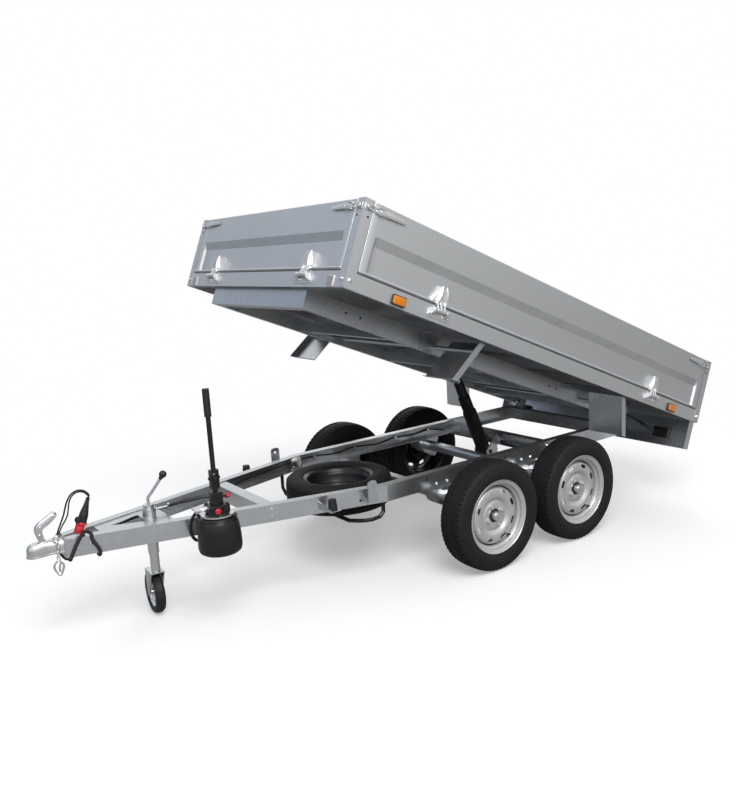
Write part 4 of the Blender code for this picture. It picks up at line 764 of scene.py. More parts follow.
def make_chain():
    """Safety chain that hangs from an eye on the coupling, with its snap hook."""
    x, y, across = -2.1835, -0.0535, (0.36, 0.93, 0)
    shells = [pad(oblong(-2.192, -2.170, -0.052, -0.028, 0.004), 0.4805, 0.4850, 0.0008),
              link((-2.181, -0.0515, 0.4935), (0.10, -0.10, 1.0), (0.3, 1, 0), 0.030, 0.026, 0.0060)]
    down = ((-2.1795, y, 0.4700), (-2.1788, y, 0.4490), (-2.1800, y, 0.4290), (-2.1812, y, 0.4105))
    for i, place in enumerate(down):
        flat_way = (0.75, 0.66, 0) if i % 2 else (-0.66, 0.75, 0)
        shells.append(link(place, (0.04, 0, 1), flat_way, 0.0270, 0.0165, 0.0046))
    # hook: a pear of thick wire with a flat spring gate
    h = np.array([(0.0, 0.402), (-0.0095, 0.394), (-0.0190, 0.380), (-0.0185, 0.366), (-0.0110, 0.350),
                  (-0.0030, 0.338), (0.0040, 0.3385), (0.0105, 0.351), (0.0175, 0.368), (0.0185, 0.382),
                  (0.0100, 0.394), (0.0, 0.402)])
    path = flowing(np.stack([x + h[:, 0] * 0.9, y + h[:, 0] * -0.35, h[:, 1]], -1), 60)[:-1]
    r = 0.0036 + 0.0010 * np.sin(np.linspace(0, 2 * math.pi, len(path))) ** 2
    shells.append(round_bar(path, r, 12, closed=True, up=across))
    gate = [(x + 0.0085, y - 0.0032, 0.3925), (x + 0.0020, y - 0.0015, 0.374),
            (x + 0.0010, y - 0.0010, 0.352)]
    strip = [(-0.0045, -0.0008), (0.0045, -0.0008), (0.0045, 0.0008), (-0.0045, 0.0008)]
    shells.append(carried(flowing(gate, 14), strip, up=across))
    shells.append(link((x, y, 0.3985), (1, -0.3, 0.2), (0, 0, 1), 0.018, 0.015, 0.0044))
    piece("safety_chain", shells, "zinc", "chassis", smooth=50, turn=chassis)


def make_coupling():
    """Pressed head: a domed shell with a lip round its foot and the ball's cup inside, on its
    shank.  Its sections are |y/w|^3.6 + |z/h|^3.6 = 1."""
    low, thick = COUPLING_LOW, 0.0032
    shank = rail_edge(RAIL_FRONT) - RAIL_T - 0.0009
    nose = COUPLING_HALF * 0.92 - 0.0035
    a = np.radians([4, 9, 15, 23, 32, 42, 53, 65, 78, 90])
    x = np.concatenate([BALL_X - nose * np.cos(a), BALL_X + np.array([0.020, 0.040, 0.053, 0.075]),
                        [RAIL_FRONT - 0.0003]])
    w = np.concatenate([nose * np.sin(a), [0.0318, 0.0284, 0.0277, 0.0345, shank - 0.0035]])
    h = (RAIL_TOP - low) * np.concatenate([np.sin(a) ** 0.55, np.ones(5)])
    t = np.linspace(0, math.pi, 25)
    c, s = np.sign(np.cos(t)) * np.abs(np.cos(t)) ** 0.56, np.abs(np.sin(t)) ** 0.56
    outer, inner = (np.stack([x[:, None] + 0 * t, wide[:, None] * c, low + high[:, None] * s], -1)
                    for wide, high in ((w, h), (np.maximum(w - thick, 0.0006),
                                                np.maximum(h - thick, 0.0010))))
    shells = [skin(np.concatenate([outer, inner[:, ::-1]], 1), caps=True)]
    edge_y = np.concatenate([-w[::-1], w])
    edge = np.stack([np.concatenate([x[::-1], x]), edge_y + np.sign(edge_y) * 0.0012,
                     np.full(2 * len(x), low + 0.0028)], -1)
    edge[len(x) - 1:len(x) + 1, 0] -= 0.0012
    foot = [(-0.0024, -0.0026), (0.0020, -0.0026), (0.0024, -0.0014), (0.0024, 0.0014), (0.0020, 0.0026),
            (-0.0024, 0.0026)]
    shells.append(carried(edge, foot, up=(0, 0, 1)))
    q = np.linspace(0, math.pi / 2 - 0.02, 9)
    cup = [(r * math.cos(v), r * math.sin(v)) for r, turns in ((0.0252, q), (0.0280, q[::-1])) for v in turns]
    shells.append(moved(lathe(cup + [(0.0280, -0.019), (0.0252, -0.019)], 32, closed=True),
                        (BALL_X, 0, low + 0.022)))
    x0, x1 = RAIL_FRONT - 0.002, RAIL_FRONT + 0.065
    shells.append(pad([(x0, -shank), (x1, -shank), (x1, shank), (x0, shank)],
                      RAIL_TOP - RAIL_H + RAIL_T + 0.0003, RAIL_TOP - RAIL_T - 0.0003))
    places = [(px, s * rail_edge(px), pz) for s in (-1, 1)
              for px, pz in ((-2.098, 0.4565), (-2.106, 0.4290), (-2.051, 0.4450))]
    shells += bolt(0.0065, places, [(0.26, math.copysign(0.96, py), 0) for _, py, _ in places])
    piece("coupling_shell", shells, "zinc", "chassis", "coupling_head", 50, chassis)


def make_handle():
    """Handle of the coupling: a channel that rises from the head, bends at a knee and ends round."""
    foot_x, knee_x, tip_x = BALL_X + 0.034, BALL_X + 0.024, BALL_X + 0.092
    line = flowing([(foot_x, 0, 0.4806), ((foot_x + knee_x) / 2 - 0.003, 0, 0.507), (knee_x, 0, 0.532),
                    (knee_x + 0.012, 0, 0.548), ((knee_x + tip_x) / 2 + 0.002, 0, 0.5610),
                    (tip_x + 0.009, 0, 0.5891)], 26)
    f = np.linspace(0, 1, 26)
    ends = [np.sqrt(np.clip(1 - (np.clip(f - start, 0, 1) / reach) ** 2, 0.05, 1))
            for start, reach in ((0.90, 0.105), (0.88, 0.125))]
    half, wall = 0.0128 * ends[0], 0.0132 * ends[1] * (1 - 0.12 * np.cos(f * 6.0))
    shape = ((-1.0, -1.0), (0.78, -1.0), (1.0, -0.84), (1.0, 0.84), (0.78, 1.0), (-1.0, 1.0), (-1.0, 0.84),
             (0.60, 0.84), (0.76, 0.70), (0.76, -0.70), (0.60, -0.84), (-1.0, -0.84))
    handle = [carried(line, np.stack([np.stack([wall * a, half * b], -1) for a, b in shape], 1),
                      up=(0, 1, 0))]
    for at, size in ((5, 0.0062), (11, 0.0048), (17, 0.0032), (22, 0.0052)):
        rivet = lathe([(0.0008, 0.0150), (size * 0.7, 0.0146), (size, 0.0135), (size, -0.0135),
                       (size * 0.7, -0.0146), (0.0008, -0.0150)], 14)
        handle.append(moved(rivet, line[at], (0, 1, 0)))
    piece("coupling_lever", handle, "zinc", "chassis", "coupling_handle", 45, chassis)


def make_pump():
    """Hand pump: round tank with its rolled rim, valve block and column with plugs and knobs,
    ribbed grip and fork bolt on the lever, elbow at the hose's port, black knob on the crank."""
    at = np.array([PUMP_X, PUMP_Y, 0])

    def on_pump(points):
        """Places from the pump's foot to the row's frame."""
        return chassis(points + at)

    top = [(0.002, 0.0006), (0.058, 0.0006), (0.0640, 0.0020), (0.0735, 0.0085), (0.0780, 0.0135),
           (0.0835, 0.0300), (0.0880, 0.0450), (0.0905, 0.0620)]
    foot = [(0.0932, 0.060), (0.0938, 0.030), (0.0925, 0.018), (0.0885, 0.0075), (0.0800, 0.0012),
            (0.0700, 0),
            (0.002, 0)]
    tank = [(r, TANK_TOP - h) for r, h in top] + [(r, TANK_LOW + h) for r, h in foot]
    neck = [(0.030, 0.5060), (0.0515, 0.5060), (0.0515, 0.5240), (0.0490, 0.5290), (0.030, 0.5290)]
    rolled = np.stack([0.0795 + 0.0030 * np.cos(ring(10)), 0.5035 + 0.0030 * np.sin(ring(10))], -1)
    base = 0.5273
    shells = [lathe(tank, 72), lathe(neck, 48), lathe(rolled, 72, closed=True),
              pad(oblong(-0.045, 0.045, -0.042, 0.042, 0.012, 4), base, base + 0.033, 0.0025),
              pad(oblong(-0.022, 0.022, -0.024, 0.024, 0.005), base + 0.030, LEVER_Z - 0.060, 0.0020),
              lathe([(0.012, 0.560), (0.0270, 0.560), (0.0290, 0.562), (0.0290, 0.578), (0.0265, 0.581),
                     (0.012, 0.581)], 32)]
    lug = [(-0.0115, LEVER_Z - 0.066), (0.0115, LEVER_Z - 0.066)]
    lug += [(0.0138 * math.cos(v), LEVER_Z + 0.0138 * math.sin(v)) for v in np.radians(np.linspace(0, 180,
                                                                                                   9))]
    shells.append(pad(lug, -0.0078, 0.0078, axes=FACING_OUT))
    corners = [(x, y, base + 0.033) for x, y in ((-0.034, -0.031), (0.034, -0.031), (0.034, 0.031),
                                                 (-0.034, 0.031))]
    shells += bolt(0.0075, corners, [(0, 0, 1)] * 4, washer=False)
    shells += bolt(0.0120, [(0.018, -0.042, base + 0.016), (-0.002, -0.024, base + 0.052)], [(0, -1, 0)] * 2,
                   False)
    stem = lathe([(0.0050, 0.0), (0.0050, 0.024)], 16)
    # place of a knob's stem, its direction and how far out the knob begins
    knobs_at = (((-0.022, -0.040, base + 0.018), (0, -1, 0), 0.010),
                ((0.021, 0.006, base + 0.058), (1, 0, 0), 0.026))
    shells += [moved(stem, place, way) for place, way, _ in knobs_at]
    piece("pump_body", shells, "black_paint", "chassis", "hand_pump", 42, on_pump)
    knobs = []
    for place, way, reach in knobs_at:
        shape = ((0.0060, 0), (0.0105, 0.0008), (0.0125, 0.0030), (0.0125, 0.0120), (0.0105, 0.0150),
                 (0.0010, 0.0160))
        knob = lathe([(r, reach + h) for r, h in shape], 48)
        turn = np.arctan2(knob[0][:, 1], knob[0][:, 0])
        knob[0][:, :2] *= (1 + 0.06 * np.cos(turn * 8))[:, None]
        knobs.append(moved(knob, place, way))
    piece("pump_knobs", knobs, "red_plastic", "chassis", smooth=50, turn=on_pump)

    low, high = LEVER_TOP - 0.116, LEVER_TOP + 0.0015
    h = np.linspace(low, high - 0.003, 90)
    ribs = 0.0149 + 0.0006 * np.sin((h - low) * 2 * math.pi / 0.0065) * (h > low + 0.012) * (h < high - 0.014)
    trim = [lathe([(0.0110, low - 0.0004), *zip(ribs, h), (0.0135, high), (0.0020, high + 0.0006)], 36)]
    trim += bolt(0.0085, [(0.0181, 0, LEVER_Z), (-0.0181, 0, LEVER_Z)], [(1, 0, 0), (-1, 0, 0)])
    piece("lever_grip", trim, "rubber", "pump_lever", smooth=40, turn=on_pump)

    # swivel elbow over the hose's first bend
    port = at + [-0.0450, 0.010, 0.5473]
    bend = flowing([port, port + [-0.012, 0, 0], port + [-0.020, 0.002, -0.001],
                    port + [-0.033, 0.010, -0.005]], 16)
    nuts = [moved(lathe([(0.004, 0.0), (r, 0.0), (r, h), (0.004, h)], 6), place, way)
            for r, h, place, way in ((0.0125, 0.008, port, (-1, 0, 0)),
                                     (0.0115, 0.010, bend[-1], bend[-1] - bend[-3]))]
    piece("hose_elbow", [round_bar(bend, 0.0092, 16)] + nuts, "zinc", "chassis", smooth=40, turn=chassis)

    v = np.linspace(-math.pi / 2 + 0.05, math.pi / 2 - 0.05, 15)
    ball = lathe(np.stack([0.0168 * np.cos(v), 0.0168 * np.sin(v)], -1), 32)
    collar = lathe([(0.0066, -0.026), (0.0085, -0.024), (0.0100, -0.012), (0.0066, -0.010)], 20)
    knob_at = chassis([JOCKEY_X + 0.070, -0.029, JOCKEY_TOP + 0.128])
    knob = [moved(ball, knob_at), moved(collar, knob_at, (0.52, -0.22, 0.82))]
    piece("crank_knob", knob, "plastic", "chassis", smooth=60)


def make_lamps():
    """Tail lamps in three chambers, wires behind them, frames of the side markers and reflectors."""
    def plate(a, h, corner, reach, round_by=0.001, axes=FACING_OUT):
        """A plate from a to a and from h to h, its corners rounded, raised over its reach."""
        return pad(oblong(*a, *h, corner, 4), *reach, round_by, axes)

    for side, s in SIDES:
        y = s * LAMP_Y
        house = [plate((y - 0.109, y + 0.109), (-0.139, -0.041), 0.008, (-0.001, BOARD_AHEAD - 0.0004)),
                 plate((y - 0.049, y + 0.049), (-0.119, -0.061), 0.006,
                       (BOARD_AHEAD - 0.001, BOARD_AHEAD + 0.033))]
        piece("lamp_house_" + side, house, "plastic", "bed", "tail_lamp_" + side, turn=bed)
        cuts = [y + s * 0.105 * (2 * part - 1) for part in (0, 0.36, 0.72, 1)]
        for name, finish, i in (("brake", "red_lens", 0), ("plain", "red_lens", 1), ("turn", "amber", 2)):
            a, b = sorted(cuts[i:i + 2])
            lens = plate((a + 0.0008, b - 0.0008), (-0.135, -0.045), 0.005, (-0.0115, -0.0005), 0.003)
            piece("lens_{}_{}".format(name, side), [lens], finish, "bed", turn=bed)
        for where, u in (("front", MARKER_FRONT), ("rear", MARKER_REAR)):
            r = MARKER_HALF + 0.0035
            reach = s * (BED_W / 2 + 0.0004), s * (BED_W / 2 + 0.0095)
            around = plate((u - r, u + r), (0.0065, 0.0495), 0.006, reach, 0.0015, FACING_SIDEWAYS)
            piece("marker_frame_{}_{}".format(where, side), [around], "plastic", "bed", turn=bed)
        y = s * REFLECTOR_Y
        around = plate((y - 0.0225, y + 0.0225), (0.0035, 0.0485), 0.004, (BED_L + 0.0002, BED_L + 0.0050),
                       0.0012)
        piece("reflector_frame_" + side, [around], "white_plastic", "bed", turn=bed)
        wires = []
        for d in (-0.006, 0.0, 0.006):
            way = [(BOARD_AHEAD + 0.034, s * LAMP_Y + d, -0.085 + d),
                   (0.090, s * (LAMP_Y - 0.020), -0.092 + 2 * d),
                   (0.150, s * (LAMP_Y - 0.065), -0.070 + d), (0.230, s * (LAMP_Y - 0.088), -0.052 + d * 0.5),
                   (0.330, s * 0.455, -0.046), (0.480, s * 0.452, -0.045)]
            wires.append(round_bar(flowing(way, 50), 0.0026, 8))
        piece("lamp_wires_" + side, wires, "rubber", "bed", smooth=60, turn=bed)


def facing(board):
    """The direction that a board's outer face looks in."""
    return on_board([1, 0, 0], board) - on_board([0, 0, 0], board)


def make_bolts():
    """Bolts in the bed's corner posts, where cross members meet the rails and at the axles'
    saddles, holes in posts and rails shown by dark discs of painted shade, and the spring catch by the lock
    plate."""
    corners, holes = [], []
    for board in BOARDS:
        for t in (-1, 1):
            at_bolt, at_hole = t * (board[4] / 2 + 0.028), t * (board[4] / 2 + 0.020)
            corners += bolt(0.0080, [on_board([0.0012, at_bolt, 0.035], board)], [facing(board)])
            holes.append(hole(0.0048, on_board([0.0011, at_hole, 0.296], board), facing(board), 0.0004,
                              0.0005, 0.0008))
    for s in (-1, 1):
        holes += [hole(0.0055, bed([u, s * 0.4452, -0.042]), (0, s, 0)) for u in (0.92, 0.98, 1.62, 1.70,
                                                                                  2.30, 2.38)]
    # painted shade: the holes are black discs that stand for their dark insides
    piece("corner_bolts", corners, "zinc", "bed")
    piece("bed_hole_shade", holes, "plastic", "bed")
    at_rails = ((-1.305, 0.458), (-1.305, 0.424), (0.350, 0.458), (0.350, 0.424), (0.915, 0.456),
                (0.915, 0.426),
                (-0.455, 0.420), (-0.385, 0.420), (0.147, 0.420), (0.217, 0.420))
    on_rails = [(x, s, z) for s in (-1, 1) for x, z in at_rails]
    shells = bolt(0.0070, [(x, s * (rail_edge(x) + 0.0002), z) for x, s, z in on_rails],
                  [rail_facing(x, s) for x, s, _ in on_rails])
    piece("frame_bolts", shells, "zinc", "chassis", turn=chassis)
    x, y = -0.764, RAIL_OUT_Y - RAIL_W - 0.0016
    plate = corner_round([(-0.812, 0.4045), (-0.746, 0.4045), (-0.746, 0.4780), (-0.790, 0.4780),
                          (-0.812, 0.4600)], 0.006)
    turns = np.linspace(0, 7 * 2 * math.pi, 120)
    coil = np.stack([x + 0.0068 * np.cos(turns), y - 0.0098 + 0.0068 * np.sin(turns),
                     0.420 + turns / turns[-1] * 0.048], -1)
    latch = [pad(plate, y - 0.0014, y + 0.0014, 0.0005, FACING_SIDEWAYS),
             round_bar(coil, 0.0011, 6, up=(0, 0, 1)),
             round_bar([(x, y - 0.0098, 0.408), (x, y - 0.0098, 0.479)], 0.0040, 12)]
    latch += bolt(0.0060, [(-0.796, y - 0.0014, 0.452), (-0.796, y - 0.0014, 0.420)], [(0, -1, 0)] * 2)
    piece("spring_catch", latch, "zinc", "chassis", smooth=45, turn=chassis)
    # painted shade: dark discs stand for the rail holes' insides
    marks = [hole(0.0060, (x, s * (rail_edge(x) + 0.0001), z), rail_facing(x, s))
             for s in (-1, 1) for x, z in ((-0.895, 0.427), (-0.520, 0.452), (0.02, 0.452))]
    piece("rail_hole_shade", marks, "plastic", "chassis", turn=chassis)


def make_boards(settings):
    """Each board is a closed loop in section (outer face, rolled top, inner face, rolled foot)
    carried along its length; the outer face is set back below a slanting fold, but for its ends."""
    low, top, thick, r = BOARD_LOW, BED_H, PANEL_T, 0.0045
    outer = np.concatenate([low + 0.0045 + np.arange(7) * 0.0012, np.linspace(low + 0.013, low + 0.020, 4),
                            [0.110, 0.150, 0.190, 0.1985, 0.2000, 0.2015, 0.2100, 0.2280, 0.2360, 0.2375,
                             0.2390],
                            np.linspace(0.26, top - r - 0.002, 4), [top - r]])
    arc = np.linspace(0, math.pi / 2, 5)[1:]
    inner = np.linspace(top - r, low + r, 6)
    c, s = r * np.cos(arc), r * np.sin(arc)
    v_out = np.concatenate([np.zeros(len(outer)), c - r, r - thick - s, np.full(len(inner) - 1, -thick),
                            r - thick - c, s[:-1] - r])
    h = np.concatenate([outer, top - r + s, top - r + c, inner[1:], low + r - s, low + r - c[:-1]])
    face = np.arange(len(h)) < len(outer)
    fold = np.clip((0.2375 - h) / 0.0375, 0, 1) * step(h, low + 0.011, low + 0.017)
    bead = 0.0042 * np.sqrt(np.clip(1 - ((h - low - 0.0082) / 0.0042) ** 2, 0, 1))
    edge = np.array([0, 0.0005, 0.0015, 0.036, 0.039, 0.043, 0.047, 0.051, 0.055])
    for board in BOARDS:
        name, half = board[0], board[4] / 2
        places = np.concatenate([-half + edge, np.linspace(-half + 0.08, half - 0.08, 31),
                                 (half - edge)[::-1]])
        inset = np.zeros((len(places), 1))
        inset[[0, 1, -2, -1], 0] = 0.0015, 0.0005, 0.0005, 0.0015
        a = places[:, None]
        from_end = half - np.abs(a)
        recess = settings.fold_depth * fold * step(from_end, 0.039, 0.053)
        ripple = 0.0006 * np.sin(a * 9.0 + 13 * h) * step(from_end, 0.05, 0.3) * step(h, low, 0.12)
        ripple *= 1 - step(h, 0.3, 0.36)
        out = v_out - (recess + ripple * 0.6 - bead) * face
        out = out - np.sign(out + thick / 2) * inset
        local = np.stack([out, a + 0 * out, h - np.sign(h - (low + top) / 2) * inset], -1)
        piece(name + "_sheet", [skin(on_board(local, board), caps=True)], "sheet", "drop_" + name, name, 50)
        make_board_fittings(board, settings)


def make_board_fittings(board, settings):
    """Hinge straps with two upright fins, hinge pins, and a lever latch at each end."""
    name, _, _, _, length, hinge_off = board
    low, latch_h = BOARD_LOW, 0.335
    # places out and up of a hinge's pin
    pin_out, pin_h = 0.016, 0.050
    on_face, on_bed = [], []

    def put(shell, into=on_face):
        """Add a shell given in (out, along, height)."""
        into.append(spread(shell, lambda p: on_board(p, board)))

    def upright(outline, low_out, high_out, into=on_face):
        """Add a plate drawn in (along, height) and raised outwards."""
        put(pad(outline, low_out, high_out, 0.0008, FACING_OUT), into)

    for off in (-hinge_off, hinge_off):
        # strap: a triangle with a waist, its foot bent out to the knuckle
        half = ((0.058, low + 0.006), (0.050, low + 0.020), (0.011, 0.160))
        strap = [(off - half[0][0], half[0][1])] + [(off + a, h) for a, h in half] + [(off - a, h) for a,
                                                                                      h in half[:0:-1]]
        upright(corner_round(strap, 0.006), -settings.fold_depth - 0.001, 0.0032)
        for t in (-1, 1):
            # fins stand up from the strap and run from the knuckle to its tip
            s = np.linspace(0, 1, 14)
            a = off + t * (0.027 * (1 - s) + 0.0105 * s)
            tall = 0.0165 * np.sin(np.clip(s * 1.15 + 0.25, 0, 1) * math.pi * 0.5) * (1 - 0.75 * s ** 3)
            fin = [(0.001 + 0 * s, -0.0018), (0.002 + tall, -0.0018), (0.003 + tall, 0),
                   (0.002 + tall, 0.0018),
                   (0.001 + 0 * s, 0.0018)]
            rows = [np.stack([out, a + aside, low - 0.004 + s * (0.162 - low)], -1) for out, aside in fin]
            put(skin(np.stack(rows, 1), caps=True))
        # knuckle with its webs, and the pin that belongs to the bed
        knuckle = [(0.0042, -0.0245), (0.0084, -0.0245), (0.0092, -0.0235), (0.0092, 0.0235),
                   (0.0084, 0.0245),
                   (0.0042, 0.0245)]
        pin = [(0.0015, -0.0445), (0.0052, -0.0440), (0.0060, -0.0425), (0.0042, -0.0415), (0.0042, 0.0430),
               (0.0020, 0.0445)]
        for profile, sides, into in ((knuckle, 24, on_face), (pin, 16, on_bed)):
            points, faces = lathe(profile, sides)
            put((points[:, [0, 2, 1]] + [pin_out, off, pin_h], faces), into)
        web = [(0.001, low + 0.022), (0.0035, low + 0.022), (0.0205, 0.0545), (0.0180, 0.0440),
               (0.0120, 0.0430),
               (0.0005, low + 0.006)]
        for start, end in ((-0.0225, -0.0165), (-0.006, 0.006), (0.0165, 0.0225)):
            put(pad(web, off + start, off + end, 0.0006, FACING_SIDEWAYS))
        # lugs on the bed: two ears on one back plate, with a bolt each side
        ear = corner_round([(-0.0005, 0.022), (0.010, 0.030), (0.0245, 0.0415), (0.0262, 0.052),
                            (0.0205, 0.0600),
                            (0.010, 0.0610), (-0.0005, 0.0600)], 0.003)
        back = corner_round([(off - 0.062, 0.016), (off + 0.062, 0.016), (off + 0.062, 0.044),
                             (off + 0.040, 0.064),
                             (off - 0.040, 0.064), (off - 0.062, 0.044)], 0.005)
        upright(back, 0.0002, 0.0034, on_bed)
        for t in (-1, 1):
            put(pad(ear, off + t * 0.0282, off + t * 0.0438, 0.0010, FACING_SIDEWAYS), on_bed)
            on_bed += bolt(0.0065, [on_board([0.0034, off + t * 0.053, 0.030], board)], [facing(board)])
            on_face += bolt(0.0050, [on_board([0.0030, off + t * 0.034, low + 0.020], board)],
                            [facing(board)])

    for t in (-1, 1):
        end = t * length / 2
        # base with folded cheeks
        upright(oblong(end - t * 0.010, end - t * 0.078, 0.320, 0.350, 0.006), -0.001, 0.0028)
        cheek = [(0.0, 0.014), (0.0145, 0.020), (0.0150, 0.040), (0.006, 0.062), (0.0, 0.066)]
        for h in (0.3225, 0.3475):
            put(pad([(out, end - t * s) for out, s in cheek], h - 0.0013, h + 0.0013, 0.0005))
        # lever: a channel that narrows to a rounded tail, its back crowned
        s = np.linspace(0.018, 0.018 + settings.latch_length, 22)
        f = (s - s[0]) / (s[-1] - s[0])
        half = 0.0118 * (1 - 0.40 * f ** 1.6) * np.sqrt(np.clip(1 - ((f - 0.955) / 0.045) ** 2 * (f > 0.955),
                                                                0.02, 1))
        rise = 0.0105 + 0.0030 * np.sin(f * math.pi) - 0.0030 * f
        back = [(0.0046 + 0 * f, 1), (rise - 0.002, 1.02), (rise, 0.86), (rise + 0.0006, 0.40)]
        across = [(out, -wide) for out, wide in back] + back[::-1]
        rows = [np.stack([out, end - t * s, latch_h + half * wide], -1) for out, wide in across]
        put(skin(np.stack(rows, 1), caps=True))
        # hook bar of round wire, over the gap and on to the post's catch
        bar = [(0.045, 0.0), (0.020, 0.0), (-0.010, 0.0), (-0.030, 0.0), (-0.037, 0.25), (-0.037, 0.75),
               (-0.030, 1.0), (-0.010, 1.0), (0.020, 1.0), (0.045, 1.0)]
        put(round_bar(flowing([(0.0085, end - t * s, 0.3275 + h * 0.015) for s, h in bar], 30), 0.0026, 8))
        # pivot and rivet
        for s, out, size in ((0.032, 0.0100, 0.0052), (0.070, 0.0110, 0.0036)):
            rivet = lathe([(0.0005, 0.0034), (size * 0.55, 0.0030), (size * 0.95, 0.0012), (size, 0.0)], 14)
            on_face.append(moved(rivet, on_board([out, end - t * s, latch_h], board), facing(board)))
        # catch on the post
        upright(oblong(end + t * 0.012, end + t * 0.046, 0.321, 0.349, 0.004), 0.0016, 0.0042, on_bed)
        hook = [(0.0035, -0.030), (0.0035, -0.022), (0.0120, -0.024), (0.0126, -0.034), (0.0100, -0.0345),
                (0.0095, -0.030)]
        put(pad([(out, end - t * s) for out, s in hook], 0.3305, 0.3395, 0.0006), on_bed)
    piece(name + "_fittings", on_face, "casting", "drop_" + name)
    piece(name + "_hinge_lugs", on_bed, "casting", "bed")


def make_tyre(name, centre, axis, body, node, settings):
    """Tread and walls of a tyre on one grid: round it and across it, the section is a smooth
    loop and the tread is cut by four grooves, slanting shoulder slits and fine middle slits."""
    # radius, distance from the middle
    section = np.array([
        (0.1700, 0.0540), (0.1790, 0.0590), (0.1850, 0.0632), (0.1870, 0.0672), (0.1905, 0.0690),
        (0.1935, 0.0700),
        (0.2020, 0.0738), (0.2120, 0.0760), (0.2230, 0.0766), (0.2330, 0.0762), (0.2345, 0.0752),
        (0.2400, 0.0748),
        (0.2500, 0.0722), (0.2560, 0.0700), (0.2600, 0.0672), (0.2640, 0.0632)])
    tread_y = np.concatenate([[0.0590, 0.0560, 0.0525], np.arange(0.0500, 0.0440, -0.0015),
                              np.arange(0.0428, 0.0370, -0.0019), np.linspace(0.0365, 0.0225, 5),
                              np.arange(0.0213, 0.0145, -0.0014), np.linspace(0.0135, 0.0, 5)])
    y = np.concatenate([section[:, 1], tread_y])
    r = np.concatenate([section[:, 0], 0.273 - 0.0040 * (np.abs(tread_y) / 0.059) ** 2.6])
    y, r = np.concatenate([y, -y[::-1][1:]]), np.concatenate([r, r[::-1][1:]])
    inside = np.array([(0.1685, -0.0400), (0.1760, -0.0300), (0.1780, 0.0), (0.1760, 0.0300),
                       (0.1685, 0.0400)])
    t = ring(settings.around * 6)[:, None]
    off = np.abs(y)
    phase = (t * settings.around / (2 * math.pi)) % 1.0

    def slit(lean, start, end):
        """1 in the middle of slits that lean across the tread, 0 away from them."""
        return 1 - step(np.abs(((phase + lean) % 1.0) - 0.5), start, end)

    grooves = [1 - step(np.abs(off - middle), half * 0.55, half)
               for middle, half in ((0.0178, 0.0036), (0.0405, 0.0034))]
    shoulder = slit((off - 0.045) * 18.0 * np.sign(y), 0.06, 0.16)
    shoulder = shoulder * step(off, 0.0445, 0.0470) * (1 - 0.55 * step(off, 0.0560, 0.0640))
    fine = slit((off - 0.029) * 26.0, 0.04, 0.12) * (off > 0.0215) * (off < 0.0368) * 0.55
    cut = np.maximum(np.maximum(shoulder, fine), np.maximum(*grooves)) * settings.groove
    ridge = 0.0006 * np.exp(-((r - 0.2000) / 0.0016) ** 2) * (off > 0.0700)
    rr = r - cut * (off < 0.0625) * (r > 0.262)
    yy = y + np.sign(y) * ridge + 0 * t
    rr, yy = (np.concatenate([grid, inside[:, k] + 0 * t], 1) for k, grid in enumerate((rr, yy)))
    shell = skin(np.stack([rr * np.cos(t), rr * np.sin(t), yy], -1), close_rows=True)
    piece(name, [moved(shell, centre, axis)], "tyre", body, node, 40)


# radius and distance out from the wheel's middle, round a pressed wheel's section
WHEEL_SECTION = (
    (0.0345, 0.0290), (0.0400, 0.0300), (0.0620, 0.0302), (0.0660, 0.0290), (0.0720, 0.0245),
    (0.0760, 0.0240),
    (0.0850, 0.0300), (0.0920, 0.0375), (0.0980, 0.0400), (0.1180, 0.0400), (0.1330, 0.0385),
    (0.1400, 0.0330),
    (0.1440, 0.0210), (0.1452, 0.0120), (0.1475, 0.0110), (0.1490, 0.0170), (0.1500, 0.0300),
    (0.1535, 0.0370),
    (0.1600, 0.0400), (0.1625, 0.0440), (0.1640, 0.0540), (0.1690, 0.0580), (0.1760, 0.0595),
    (0.1800, 0.0622),
    (0.1822, 0.0650), (0.1835, 0.0640), (0.1832, 0.0610), (0.1800, 0.0585), (0.1700, 0.0560),
    (0.1668, 0.0540),
    (0.1645, 0.0430), (0.1620, 0.0380), (0.1560, 0.0350), (0.1528, 0.0290), (0.1520, 0.0150),
    (0.1520, -0.0250),
    (0.1560, -0.0330), (0.1640, -0.0400), (0.1665, -0.0540), (0.1800, -0.0600), (0.1832, -0.0630),
    (0.1815, -0.0655), (0.1770, -0.0630), (0.1640, -0.0565), (0.1605, -0.0430), (0.1530, -0.0355),
    (0.1490, -0.0260), (0.1490, 0.0000), (0.1430, 0.0080), (0.1415, 0.0200), (0.1370, 0.0310),
    (0.1310, 0.0345),
    (0.1180, 0.0360), (0.0980, 0.0360), (0.0930, 0.0340), (0.0850, 0.0260), (0.0750, 0.0200),
    (0.0640, 0.0250),
    (0.0400, 0.0262), (0.0345, 0.0255),
)


